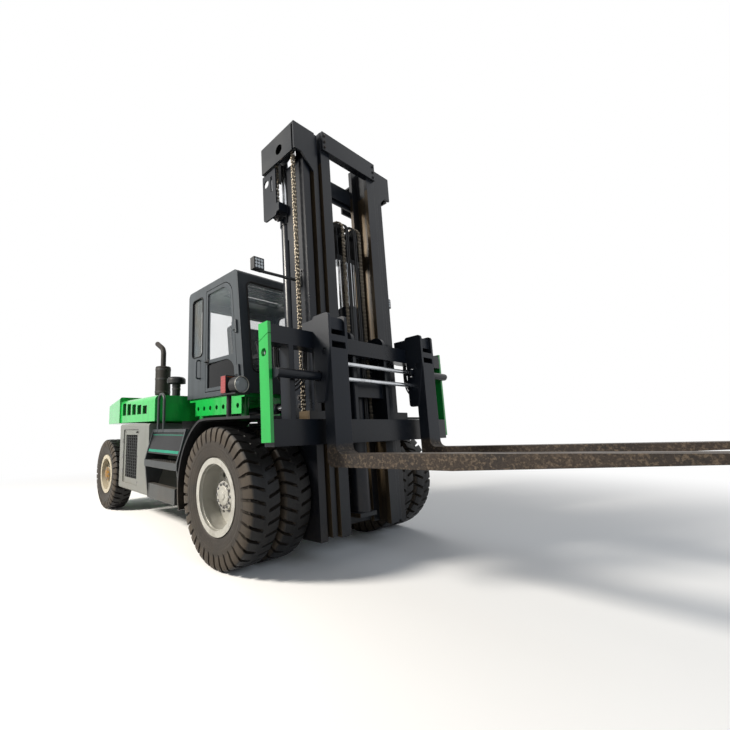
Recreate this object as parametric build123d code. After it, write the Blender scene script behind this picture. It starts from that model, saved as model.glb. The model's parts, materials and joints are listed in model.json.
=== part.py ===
"""Heavy diesel counterbalance forklift with a three-stage mast, in millimetres.

X points forward to the forks, Y to the left, Z up. The model is drawn from the drive axle and then
moved so that the origin lies at the bottom centre of its box, on the ground. Mast pieces are drawn
upright from the mast's pivot (u forward, w up) and then leaned back by REST_TILT.
"""
import os
from math import atan2, cos, degrees, hypot, pi, radians, sin

from build123d import *

# General clearances
OVERRUN = 30.0          # how far a cutting tool passes its wall
SEAT_GAP = 0.3          # between pieces that seat on each other but move or are curved
RUN_GAP = 8.0           # between pieces that slide past each other
GLAND_L = 50.0          # length of the guide at a cylinder's mouth

# Stance
WHEELBASE = 3600.0
REST_TILT = 2.4         # degrees that the mast leans back at rest

# Drive wheels, twins on each side
DRIVE_R = 620.0
DRIVE_W = 310.0
DRIVE_OUTER_Y = 1276.0
TWIN_GAP = 30.0
DRIVE_BEAD_R = 305.0
DRIVE_FLANGE_R = 342.0
DRIVE_DISC_INSET = 215.0
DRIVE_HUB_R = 128.0
DRIVE_HUB_INSET = 120.0
DRIVE_DRUM_R = 160.0

# Steered wheels
STEER_R = 536.0
STEER_W = 280.0
STEER_OUTER_Y = 1187.0
STEER_BEAD_R = 254.0
STEER_FLANGE_R = 295.0
STEER_DISC_INSET = 105.0
STEER_HUB_R = 105.0
STEER_HUB_INSET = 35.0
STEER_DRUM_R = 80.0
KINGPIN_Y = 800.0
STEER_SWEEP_CLEAR = 14.0

# Tyres and rims of both kinds
BEAD_SHARE = 0.72        # of the tyre's width, where it sits on the rim
CROWN_SHARE = 0.80       # of the tyre's width, where the tread ends
SHOULDER_SHARE = 0.97    # of the tyre's width, at the shoulder
SHOULDER_DROP_SHARE = 0.17  # of the wall's height, from the tread to the shoulder
LUG_COUNT = 20           # lugs on each shoulder, and flat sides of the crown
LUG_GROOVE_W = 56.0
LUG_GROOVE_DEPTH = 50.0
LUG_GROOVE_SHARE = 0.40  # of the tyre's width that each groove reaches in
RIM_T = 16.0
HAND_HOLE_R = 26.0
HAND_HOLE_COUNT = 8
HAND_HOLE_SHARE = 0.75   # of the bead's radius, where the hand holes lie
DISC_T = 22.0
LIP_W = 22.0
BOLT_RING_T = 16.0

# Axles
AXLE_R = 150.0
DIFF_R = 260.0
DIFF_W = 360.0
AXLE_FLANGE_R = 165.0
AXLE_FLANGE_T = 40.0
BEAM_HALF_X = 90.0
YOKE_H = 56.0
YOKE_R = 84.0
PIN_R = 42.0
KNUCKLE_H = 150.0
KNUCKLE_R = 78.0
SPINDLE_R = 60.0
TRUNNION_R = 85.0
TRUNNION_L = 150.0
HANGER_R = 125.0
HANGER_T = 60.0
HANGER_GAP = 40.0

# Chassis
FRAME_FRONT_X = 300.0
WAIST_TO_STEER = 840.0
FRAME_WAIST_X = WAIST_TO_STEER - WHEELBASE
FRAME_Y = 480.0
FRAME_T = 40.0
FRAME_LOW_Z = 330.0
FRAME_HIGH_Z = 1120.0
FRAME_TAIL_Y = 250.0
FRAME_TAIL_LOW_Z = 720.0
CROSS_T = 50.0
CROSS_SHARES = (0.02, 0.27, 0.50, 0.80)
MAST_LUG_OUT = 76.0
OUTRIGGER_W = 120.0
OUTRIGGER_H = 90.0
FENDER_ARM_W = 80.0
FENDER_ARM_T = 38.0
MAST_LUG_R = 85.0

# Engine
ENGINE_X = (-2700.0, -1800.0)
ENGINE_Y = 330.0
ENGINE_Z = (640.0, 1480.0)

# Counterweight
CW_AHEAD = 495.0
CW_OVERHANG = 600.0
CW_FRONT_X = CW_AHEAD - WHEELBASE
CW_REAR_X = -WHEELBASE - CW_OVERHANG
CW_LOW_Z = 1320.0
CW_TOP_Z = 1715.0
CW_Y = 1150.0
CW_REAR_Y = 1010.0
CW_REAR_TOP_Z = 1640.0
CW_CORNER_R = 160.0
CW_TAIL_L = 240.0        # the frame's tail ends in front of it
CW_TAIL_Y = 330.0
CW_TAIL_LOW_Z = 640.0
CW_GRILLE_Y = 240.0
CW_GRILLE_Z = (900.0, 1240.0)
CW_GRILLE_DEPTH = 60.0
CW_GRILLE_BARS = 6
CW_BAR_W = 22.0
CW_BAR_T = 16.0
CW_EDGE_R = 40.0
TOW_SLOT_Y = 60.0
TOW_SLOT_Z = (700.0, 800.0)
TOW_BORE_R = 20.0
TOW_BORE_INSET = 75.0

# Engine shroud and hood
SHROUD_FRONT_X = -1760.0
SHROUD_LOW_Z = 1325.0
SHROUD_SIDE_Z = 1660.0
SHROUD_Y = 1130.0
SHROUD_T = 30.0
SHROUD_EDGE_R = 70.0
HOOD_Y = 390.0
HOOD_RISE = 85.0
HOOD_T = 26.0
HOOD_END_GAP = 12.0
HOOD_SILL_Y = 50.0
HOOD_HINGE_R = 12.0
HOOD_HINGE_L = 120.0
HOOD_HINGE_Y = 180.0
HOOD_ARM_W = 40.0
VENT_X = (-3020.0, -1980.0)
VENT_COUNT = 5
VENT_FILL_SHARE = 0.72
VENT_LOW_Z = 1430.0
VENT_TOP_REAR_Z = 1610.0
VENT_TOP_FRONT_Z = 1540.0

# Side tanks below the shroud
TANK_X = (-3020.0, -1880.0)
TANK_Y = (700.0, 1150.0)
TANK_Z = (390.0, 1300.0)
TANK_EDGE_R = 30.0
PANEL_X = (-2860.0, -2240.0)
PANEL_Z = (480.0, 1225.0)
PANEL_RECESS = 14.0
PANEL_EDGE_R = 26.0
MESH_X = (-2790.0, -2330.0)
MESH_Z = (560.0, 1150.0)
MESH_RECESS = 26.0
MESH_BAR_T = 8.0
MESH_ROWS = 14
MESH_COLUMNS = 5
LATCH_L = 110.0
LATCH_H = 30.0
TANK_SHELF_T = 60.0

# Steps and handrails
STEP_FRONT_X = -920.0
STEP_LOW_Z = (770.0, 850.0)
STEP_LOW_Y = (940.0, 1200.0)
STEP_TOP_Z = (1182.0, 1222.0)
STEP_TOP_Y = (760.0, 1100.0)
STEP_SIDE_T = 24.0
SILL_Z = (385.0, 560.0)
SILL_FRONT_X = -1070.0
SILL_Y = (1080.0, 1150.0)
RAIL_R = 17.0
RAIL_Y = 1090.0
RAIL_X = (-1735.0, -1560.0)
RAIL_TOP_Z = 1660.0
RAIL_BEND_R = 80.0

# Drive wheel fenders
FENDER_R = 722.0
FENDER_T = 22.0
FENDER_Y = (668.0, 1270.0)
FENDER_TOP_Z = 1300.0
FENDER_FRONT_X = 585.0
FENDER_LOW_ANGLE = 197.0
FENDER_CREST_ANGLE = 112.0
FENDER_FRONT_Y = 790.0
FENDER_NOTCH_X = 120.0

# Cab
CAB_Y = 727.0
CAB_BASE_Z = 1600.0
CAB_ROOF_Z = 3030.0
CAB_REAR_X = -1680.0
CAB_FRONT_TOP_X = -480.0
CAB_FRONT_LOW_X = -315.0
CAB_WALL = 46.0
CAB_ROOF_T = 70.0
CAB_EDGE_R = 60.0
DOOR_REAR_X = -1200.0
DOOR_LOW_Z = 1660.0
DOOR_TOP_Z = 2945.0
DOOR_GAP = 8.0
DOOR_T = 38.0
DOOR_FRAME_W = 42.0
DOOR_PILLAR_W = 118.0
DOOR_ARCH_R = 210.0
DOOR_MID_Z = 2035.0
HINGE_INSET = 72.0
HINGE_R = 14.0
HINGE_L = 100.0
HINGE_SHARES = (0.12, 0.52)
QUARTER_X = (-1560.0, -1275.0)
QUARTER_Z = (2130.0, 2905.0)
QUARTER_R = 60.0
SCREEN_Y = 610.0
SCREEN_Z = (1840.0, 2900.0)
SCREEN_R = 70.0
REAR_WIN_Y = 560.0
REAR_WIN_Z = (2030.0, 2860.0)
ROOF_WIN_X = (-1250.0, -640.0)
ROOF_WIN_Y = 450.0
ROOF_BAR_COUNT = 4
GRAB_X = -1340.0
GRAB_Z = (1850.0, 2080.0)
GRAB_OUT = 52.0
GRAB_R = 11.0
ROOF_BAR_W = 40.0
GLASS_T = 8.0
FLOOR_T = 40.0
FLOOR_REAR_X = -1660.0
SUB_Y = 700.0
SUB_Z = (1380.0, 1560.0)
SUB_T = 14.0
SUB_X = (-1500.0, -420.0)
SUB_HOLE_R = 28.0
SUB_HOLES = 7
CAB_MOUNT_R = 45.0
CAB_MOUNT_X = (-1560.0, -560.0)
CAB_MOUNT_Y = 560.0

# Seat and console
SEAT_X = -1180.0
SEAT_Y = 260.0
SEAT_L = 500.0
SEAT_H = 130.0
SEAT_Z = 2010.0
SEAT_BACK_H = 560.0
SEAT_BACK_T = 130.0
SEAT_BACK_LEAN = 8.0
SEAT_BASE_X = 400.0
SEAT_BASE_Y = 190.0
SEAT_EDGE_R = 40.0
CONSOLE_X = (-640.0, -440.0)
CONSOLE_Y = 210.0
CONSOLE_Z = 2080.0
WHEEL_X = -720.0
WHEEL_Z = 2230.0
WHEEL_R = 190.0
WHEEL_TUBE_R = 15.0
WHEEL_LEAN = 32.0
COLUMN_R = 32.0
WHEEL_SPOKE_R = 12.0

# Exhaust and air intake
MUFFLER_X = -2830.0
MUFFLER_Y = -600.0
MUFFLER_R = 115.0
MUFFLER_Z = (1745.0, 2200.0)
STACK_R = 40.0
STACK_Z = 2480.0
STACK_BEND_R = 130.0
STACK_T = 5.0
STACK_BORE_SHARE = 0.8      # of the bend, where the pipe's bore ends
INTAKE_X = -2100.0
INTAKE_Y = -700.0
INTAKE_R = 55.0
INTAKE_TOP_Z = 1950.0
CAP_R = 127.0
CAP_H = 90.0
CAP_SKIRT_H = 60.0

# Headlamps
LAMP_Y = 1100.0
LAMP_X = 150.0
LAMP_Z = (1540.0, 1710.0)
LAMP_R = 78.0
LAMP_DEPTH = 110.0
LAMP_BEZEL = 10.0
LENS_SET = 12.0
TURN_X = (-30.0, 60.0)
LAMP_POST_R = 24.0
LAMP_PLATE_T = 12.0
LAMP_PLATE_X = (-40.0, 220.0)

# Mast: its frame, pivot and rails
MAST_X = 380.0
MAST_Z = 552.0
PIVOT_U = -120.0
PIVOT_PIN_R = 45.0
MAST_LOW_W = -320.0
RAIL_DEPTH = 255.0
RAIL_WEB_T = 31.0
RAIL_FLANGE_T = 40.0
OUTER_U = 49.0
OUTER_Y = (535.0, 620.0)
OUTER_TOP_W = 3320.0     # what stands on the rails' tops follows this height
MIDDLE_U = 77.0
MIDDLE_Y = (440.0, 505.0)
MIDDLE_RISE = 290.0
MIDDLE_LOW_W = -290.0
INNER_U = 105.0
INNER_Y = (295.0, 420.0)
INNER_RISE = 30.0
INNER_LOW_W = -300.0
ROLLER_PIN_R = 30.0
ROLLER_SIDE_GAP = 6.0
TIE_T = 22.0
TIE_SINK = 4.0
# lower and upper edge of each tie, as shares of its rail's height
OUTER_TIE_SHARES = ((0.005, 0.071), (0.786, 0.838))
MIDDLE_TIE_SHARES = ((0.005, 0.054), (0.890, 0.946))
INNER_TIE_SHARES = ((0.005, 0.071), (0.892, 0.939))
PIVOT_BRACKET_R = 90.0
PIVOT_BRACKET_Y = (565.0, 612.0)

# Mast: crosshead, ears, sheaves, anchors
CROSSHEAD_Y = 415.0
CROSSHEAD_T = 30.0
CROSSHEAD_H = 205.0
EAR_Y = 750.0
EAR_DEPTH = 530.0
EAR_RISE = 15.0
EAR_H = 290.0
EAR_T = 20.0
EAR_FILLET_R = 150.0
SHEAVE_Y = 682.0
SHEAVE_R = 120.0
SHEAVE_T = 50.0
SHEAVE_U = 95.0
SHEAVE_DROP = 170.0      # from the ear's top
SHEAVE_PIN_R = 26.0
CHAIN_W = 50.0
CHAIN_T = 24.0
SIDE_CHAIN_FRONT_W = 715.0
ANCHOR_U = (-130.0, 40.0)
ANCHOR_DROP = 395.0      # from the outer rail's top
ANCHOR_H = 90.0
SIDE_PLATE_U = (-215.0, 0.0)
SIDE_PLATE_H = 520.0
SIDE_PLATE_T = 16.0
HOOK_HOLE_R = 42.0
HOOK_HOLE_SHARE = 0.80
HOOK_HOLE_INSET = 58.8
PLATE_SLOT_INSET = 134.4
PLATE_SLOT_DROP = 126.0
PLATE_SLOT_W = 24.0
WING_W = (700.0, 800.0)
WING_T = 14.0
WING_U = 352.0

# Mast: side lift cylinders
LIFT_Y = 555.0
LIFT_U = -50.0
LIFT_R = 62.0
LIFT_LOW_W = 150.0
LIFT_ROD_R = 42.0
LIFT_BORE_R = 50.0
LIFT_COLLAR_R = 72.0
LIFT_COLLAR_H = 60.0

# Mast: centre lift cylinder and its sheave head
CENTRE_U = 225.0
CENTRE_R = 100.0
CENTRE_BORE_R = 90.0
CENTRE_LOW_W = -150.0
CENTRE_TOP_W = 1880.0
CENTRE_ROD_R = 82.0
CENTRE_ROD_TOP_W = 2360.0
CENTRE_ROD_LOW_W = 900.0
HEAD_W = (2360.0, 2640.0)
HEAD_Y = 190.0
HEAD_U = 62.0
HEAD_SHEAVE_Y = 130.0
HEAD_SHEAVE_R = 93.0
HEAD_SHEAVE_T = 44.0
HEAD_SHEAVE_W = 2700.0
HEAD_EAR_T = 16.0
CENTRE_CHAIN_W = 40.0
CENTRE_CHAIN_FRONT_W = 600.0
CENTRE_CHAIN_REAR_W = 1250.0

# Tilt cylinders
TILT_Y = 400.0
TILT_REAR_X = -960.0
TILT_REAR_Z = 1375.0
TILT_EYE_U = -100.0
TILT_EYE_W = 900.0
TILT_TIE_BELOW = 109.8    # the tie that carries the tilt eyes' cheeks, below and above the eyes
TILT_TIE_ABOVE = 108.6
TILT_TUBE_R = 56.0
TILT_BORE_R = 40.0
TILT_ROD_R = 32.0
TILT_EYE_R = 48.0
TILT_TUBE_SOLID_L = 3 * TILT_EYE_R
TILT_EYE_T = 50.0
TILT_PIN_R = 22.0
TILT_TUBE_L = 820.0
TILT_ROD_L = 640.0
TILT_LUG_T = 16.0

# Carriage
CAR_U = (378.0, 500.0)
CAR_Y = 1235.0
CAR_TOP_W = (1310.0, 1455.0)
CAR_LOW_W = (508.0, 716.0)
END_T = 30.0
END_W = (540.0, 1475.0)
END_HOLE_R = 32.0
END_HOLE_W = 1235.0
END_GAP_W = (1330.0, 1380.0)   # the joint in the end plate, at its rear and front edge
END_GAP_T = 5.0
ROLLER_PLATE_Y = (215.0, 255.0)
ROLLER_PLATE_U = (150.0, 500.0)
ROLLER_PLATE_W = (500.0, 1560.0)
ROLLER_PLATE_R = 90.0
CAR_ROLLER_W = (640.0, 1420.0)
CAR_POST_Y = (1010.0, 1060.0)
CHAIN_PLATE_W = (930.0, 1080.0)
CHAIN_PLATE_U = (385.0, 425.0)

# Forks
FORK_Y = 675.0
FORK_W = 200.0
FORK_T = 102.0
FORK_FACE_U = 690.0
FORK_LOW_W = 330.0
FORK_TOP_W = 1290.0
FORK_L = 2440.0
FORK_TAPER_L = 1500.0
FORK_TIP_T = 26.0
FORK_TIP_R = 80.0
FORK_HEEL_R = 60.0
FORK_HEEL_BEVEL = 34.0
BRACKET_T = 30.0
BRACKET_OUT = 225.0
BRACKET_TOP_W = 1585.0
BRACKET_TOP_R = 60.0
BRACKET_LOW_W = 845.0
BRACKET_HOLE_R = 30.0
BRACKET_HOLE_W = 1262.0
BRACKET_BEAM_W = (1470.0, 1560.0)
BRACKET_FRONT_W = (1345.0, 1400.0)
HOOK_T = 12.0

# Fork positioners
SHAFT_U = 545.0
SHAFT_HIGH_W = 1200.0
SHAFT_LOW_W = 1065.0
TUBE_R = 38.0
TUBE_BORE_R = 26.0
ROD_R = 20.0
TUBE_IN_Y = 515.0
ROD_HIDDEN_L = 385.0
TUBE_MOUNT_T = 30.0
PASS_R = 44.0

# Work lamps on the mast
WORK_U = 0.0
WORK_Y = 985.0
WORK_W = 2200.0
WORK_SIZE = 116.0
WORK_DEPTH = 62.0
ARM_R = 14.0
ARM_ROOT_U = 180.0
ARM_ROOT_W = 2060.0
ARM_PLATE_L = 130.0
ARM_PLATE_T = 12.0

# Worked out places
AXLE_Z = DRIVE_R
STEER_Z = STEER_R
CAB_LEAN = degrees(atan2(CAB_FRONT_LOW_X - CAB_FRONT_TOP_X, CAB_ROOF_Z - CAB_BASE_Z))
DRIVE_INNER_Y = DRIVE_OUTER_Y - 2 * DRIVE_W - TWIN_GAP
STEP_X = (TANK_X[1] + SEAT_GAP, STEP_FRONT_X)
ROLLER_R = RAIL_DEPTH / 2 - RAIL_FLANGE_T - SEAT_GAP
LIFT_FOOT_W = LIFT_LOW_W - LIFT_COLLAR_H
STEER_SWEEP_R = hypot(STEER_R, STEER_OUTER_Y - KINGPIN_Y) + STEER_SWEEP_CLEAR
TILT = radians(REST_TILT)
HOOD_HINGE_POINT = (CW_FRONT_X + HOOD_END_GAP, SHROUD_SIDE_Z + HOOD_RISE)
CW_TAIL_X = CW_REAR_X + CW_TAIL_L
MIDDLE_TOP_W = OUTER_TOP_W + MIDDLE_RISE
INNER_TOP_W = MIDDLE_TOP_W + INNER_RISE
EAR_W = (MIDDLE_TOP_W + EAR_RISE - EAR_H, MIDDLE_TOP_W + EAR_RISE)
SHEAVE_W = EAR_W[1] - SHEAVE_DROP
CROSSHEAD_W = (INNER_TOP_W - CROSSHEAD_H, INNER_TOP_W)
SIDE_PLATE_W = (OUTER_TOP_W - SIDE_PLATE_H, OUTER_TOP_W)
ANCHOR_W = (OUTER_TOP_W - ANCHOR_DROP - ANCHOR_H, OUTER_TOP_W - ANCHOR_DROP)
LIFT_TOP_W = SIDE_PLATE_W[0]
PIVOT_X = MAST_X + PIVOT_U * cos(TILT)
PIVOT_Z = MAST_Z + PIVOT_U * sin(TILT)
TIP_X = MAST_X + (FORK_FACE_U + FORK_L) * cos(TILT) - FORK_LOW_W * sin(TILT)
CENTRE_X = (TIP_X + CW_REAR_X) / 2


def block(xs, ys, zs):
    """Box between two places along each axis."""
    size = [abs(high - low) for low, high in (xs, ys, zs)]
    middle = [(low + high) / 2 for low, high in (xs, ys, zs)]
    return Pos(*middle) * Box(*size)


def both(shape):
    """The shape and its mirror image on the other side."""
    return [shape, mirror(shape, about=Plane.XZ)]


def side_profile(wire, ys):
    """Outline in X and Z, as thick as the two Y places say."""
    face = make_face(Plane.XZ.offset(-ys[1]) * wire)
    return extrude(face, amount=ys[1] - ys[0], dir=(0, -1, 0))


def rod_along(axis, start, length, radius):
    """Cylinder from a start point along X, Y or Z."""
    turn = {"x": Rot(0, 90, 0), "y": Rot(-90, 0, 0), "z": Rot(0, 0, 0)}[axis]
    tube = Cylinder(radius, length, align=(Align.CENTER, Align.CENTER, Align.MIN))
    return Pos(*start) * turn * tube


def rod_between(start, end, radius):
    """Cylinder from one point to another."""
    path = Line(start, end)
    return extrude(Plane(start, z_dir=path % 0) * Circle(radius), amount=path.length)


def ring(outer_r, inner_r, ys, centre_x, centre_z):
    """Ring about an axis along Y."""
    place = (centre_x, ys[0], centre_z)
    wall = rod_along("y", place, ys[1] - ys[0], outer_r)
    if inner_r:
        wall -= rod_along("y", (centre_x, ys[0] - OVERRUN, centre_z), ys[1] - ys[0] + 2 * OVERRUN, inner_r)
    return wall


def lean(shape):
    """Takes a mast piece from its upright frame to its place on the truck at rest."""
    return Pos(MAST_X, 0, MAST_Z) * Rot(0, -REST_TILT, 0) * shape


# Wheels
def tyre(radius, width, bead_r, flange_r, outer_y, centre_x):
    """Tyre in levels from sidewall to sidewall, with grooves between its shoulder lugs."""
    half = width / 2
    wall_r = (radius + bead_r) / 2
    shoulder_r = radius - (radius - bead_r) * SHOULDER_DROP_SHARE
    bands = [(wall_r, 1), (shoulder_r, SHOULDER_SHARE), (radius, CROWN_SHARE)]
    bands += [(reach, -share) for reach, share in reversed(bands)]
    body = loft([flat_ring(reach, share * half) for reach, share in bands], ruled=True)
    seat = half * BEAD_SHARE
    for side in (-1, 1):
        levels = [flat_ring(flange_r + SEAT_GAP, side * seat), flat_ring(wall_r, side * half)]
        body -= loft(levels, ruled=True)
    body -= extrude(flat_ring(bead_r + SEAT_GAP, -half), amount=width)
    body -= lug_grooves(radius, width)
    return Pos(centre_x, outer_y - half, radius) * Rot(-90, 0, 0) * body


def flat_ring(reach, z):
    """One level of the tyre, with a flat side at the bottom so that the truck stands firm."""
    return Pos(0, 0, z) * RegularPolygon(reach, LUG_COUNT, major_radius=False, rotation=180 / LUG_COUNT)


def lug_grooves(radius, width):
    """Wedge tools that part the lugs at both shoulders, running out towards the crown's middle."""
    reach = width * LUG_GROOVE_SHARE
    slope = atan2(LUG_GROOVE_DEPTH, reach)
    spread = LUG_GROOVE_W / 2 * (1 + OVERRUN / LUG_GROOVE_DEPTH)
    wedge = Polyline((0, -LUG_GROOVE_DEPTH), (spread, OVERRUN), (-spread, OVERRUN), close=True)
    way = Vector(sin(slope), 0, -cos(slope))
    start = Vector(radius, 0, width / 2) - way * OVERRUN
    tool = extrude(Plane(start, x_dir=(0, 1, 0), z_dir=way) * make_face(wedge),
                   amount=(reach + OVERRUN) / cos(slope))
    pitch = 360 / LUG_COUNT
    grooves = []
    for index in range(LUG_COUNT):
        grooves.append(Rot(0, 0, index * pitch) * tool)
        grooves.append(Rot(0, 0, (index + 1 / 2) * pitch) * mirror(tool, about=Plane.XY))
    return grooves


def rim(width, bead_r, flange_r, disc_inset, outer_y, centre_x, centre_z):
    """Rim barrel with its two lips and the wheel disc, open dish outwards."""
    inner_y = outer_y - width
    disc_y = outer_y - disc_inset
    lip = flange_r - bead_r
    seat = (1 - BEAD_SHARE) * width / 2 - SEAT_GAP
    barrel_ys = (inner_y + seat - LIP_W, outer_y - seat + LIP_W)
    barrel = ring(bead_r, bead_r - RIM_T, barrel_ys, centre_x, centre_z)
    for low in (inner_y + seat - LIP_W, outer_y - seat):
        barrel += ring(bead_r + lip, bead_r - RIM_T, (low, low + LIP_W), centre_x, centre_z)
    barrel += ring(bead_r - RIM_T / 2, 0, (disc_y - DISC_T, disc_y), centre_x, centre_z)
    reach = HAND_HOLE_SHARE * bead_r
    holes = []
    for index in range(HAND_HOLE_COUNT):
        angle = 2 * pi * index / HAND_HOLE_COUNT
        place = (centre_x + reach * cos(angle), centre_z + reach * sin(angle))
        holes.append(ring(HAND_HOLE_R, 0, (disc_y - DISC_T - RIM_T, disc_y + RIM_T), *place))
    return barrel - holes


def drive_wheel():
    """Left twin wheels: two tyres, and two rims joined by the hub drum."""
    inner_outer_y = DRIVE_OUTER_Y - DRIVE_W - TWIN_GAP
    tyres = [tyre(DRIVE_R, DRIVE_W, DRIVE_BEAD_R, DRIVE_FLANGE_R, y, 0)
             for y in (DRIVE_OUTER_Y, inner_outer_y)]
    sizes = (DRIVE_W, DRIVE_BEAD_R, DRIVE_FLANGE_R)
    outer = rim(*sizes, DRIVE_DISC_INSET, DRIVE_OUTER_Y, 0, AXLE_Z)
    inner = rim(*sizes, DRIVE_W - DRIVE_DISC_INSET, inner_outer_y, 0, AXLE_Z)
    drum_ys = (DRIVE_INNER_Y + SEAT_GAP, DRIVE_OUTER_Y - DRIVE_DISC_INSET + BOLT_RING_T)
    drum = ring(DRIVE_DRUM_R, 0, drum_ys, 0, AXLE_Z)
    hub = ring(DRIVE_HUB_R, 0, (inner_outer_y, DRIVE_OUTER_Y - DRIVE_HUB_INSET), 0, AXLE_Z)
    return tyres, outer + inner + drum + hub


def steer_wheel():
    """Left steered tyre and rim."""
    x = -WHEELBASE
    rubber = tyre(STEER_R, STEER_W, STEER_BEAD_R, STEER_FLANGE_R, STEER_OUTER_Y, x)
    sizes = (STEER_W, STEER_BEAD_R, STEER_FLANGE_R)
    metal = rim(*sizes, STEER_DISC_INSET, STEER_OUTER_Y, x, STEER_Z)
    disc_y = STEER_OUTER_Y - STEER_DISC_INSET
    metal += ring(STEER_HUB_R, 0, (disc_y, STEER_OUTER_Y - STEER_HUB_INSET), x, STEER_Z)
    metal += ring(STEER_DRUM_R, 0, (KINGPIN_Y + KNUCKLE_R + SEAT_GAP, disc_y), x, STEER_Z)
    return rubber, metal


# Axles
def drive_axle():
    """Axle housing with its differential bulge and the two hub flanges."""
    end_y = DRIVE_INNER_Y
    housing = ring(AXLE_R, 0, (-end_y, end_y), 0, AXLE_Z)
    housing += ring(DIFF_R, 0, (-DIFF_W / 2, DIFF_W / 2), 0, AXLE_Z)
    for low in (-end_y, end_y - AXLE_FLANGE_T):
        housing += ring(AXLE_FLANGE_R, 0, (low, low + AXLE_FLANGE_T), 0, AXLE_Z)
    return housing


def steer_axle():
    """Beam between the kingpins, its end yokes, the kingpins and the trunnions that hang it."""
    x, z = -WHEELBASE, STEER_Z
    half_h = KNUCKLE_H / 2 + RUN_GAP + YOKE_H
    beam_y = KINGPIN_Y - 2 * YOKE_R
    beam = block((x - BEAM_HALF_X, x + BEAM_HALF_X), (-beam_y, beam_y), (z - half_h, z + half_h))
    beam += rod_along("x", (x - BEAM_HALF_X - TRUNNION_L, 0, z), 2 * (BEAM_HALF_X + TRUNNION_L), TRUNNION_R)
    arm = block((x - YOKE_R, x + YOKE_R), (beam_y - YOKE_R, KINGPIN_Y), (z - half_h, z + half_h))
    arm += rod_along("z", (x, KINGPIN_Y, z - half_h), 2 * half_h, YOKE_R)
    jaw = block((x - 2 * YOKE_R, x + 2 * YOKE_R), (beam_y + YOKE_R / 2, KINGPIN_Y + 2 * YOKE_R),
                (z - half_h + YOKE_H, z + half_h - YOKE_H))
    arm -= jaw
    arm += rod_along("z", (x, KINGPIN_Y, z - half_h), 2 * half_h, PIN_R - SEAT_GAP)
    for side in both(arm):
        beam += side
    return beam


def knuckle():
    """Left knuckle: a barrel on the kingpin with the spindle to the wheel."""
    x, z = -WHEELBASE, STEER_Z
    barrel = rod_along("z", (x, KINGPIN_Y, z - KNUCKLE_H / 2), KNUCKLE_H, KNUCKLE_R)
    barrel += ring(SPINDLE_R, 0, (KINGPIN_Y, KINGPIN_Y + KNUCKLE_R), x, z)
    bore_low = z - KNUCKLE_H / 2 - OVERRUN
    return barrel - rod_along("z", (x, KINGPIN_Y, bore_low), KNUCKLE_H + 2 * OVERRUN, PIN_R)


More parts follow.
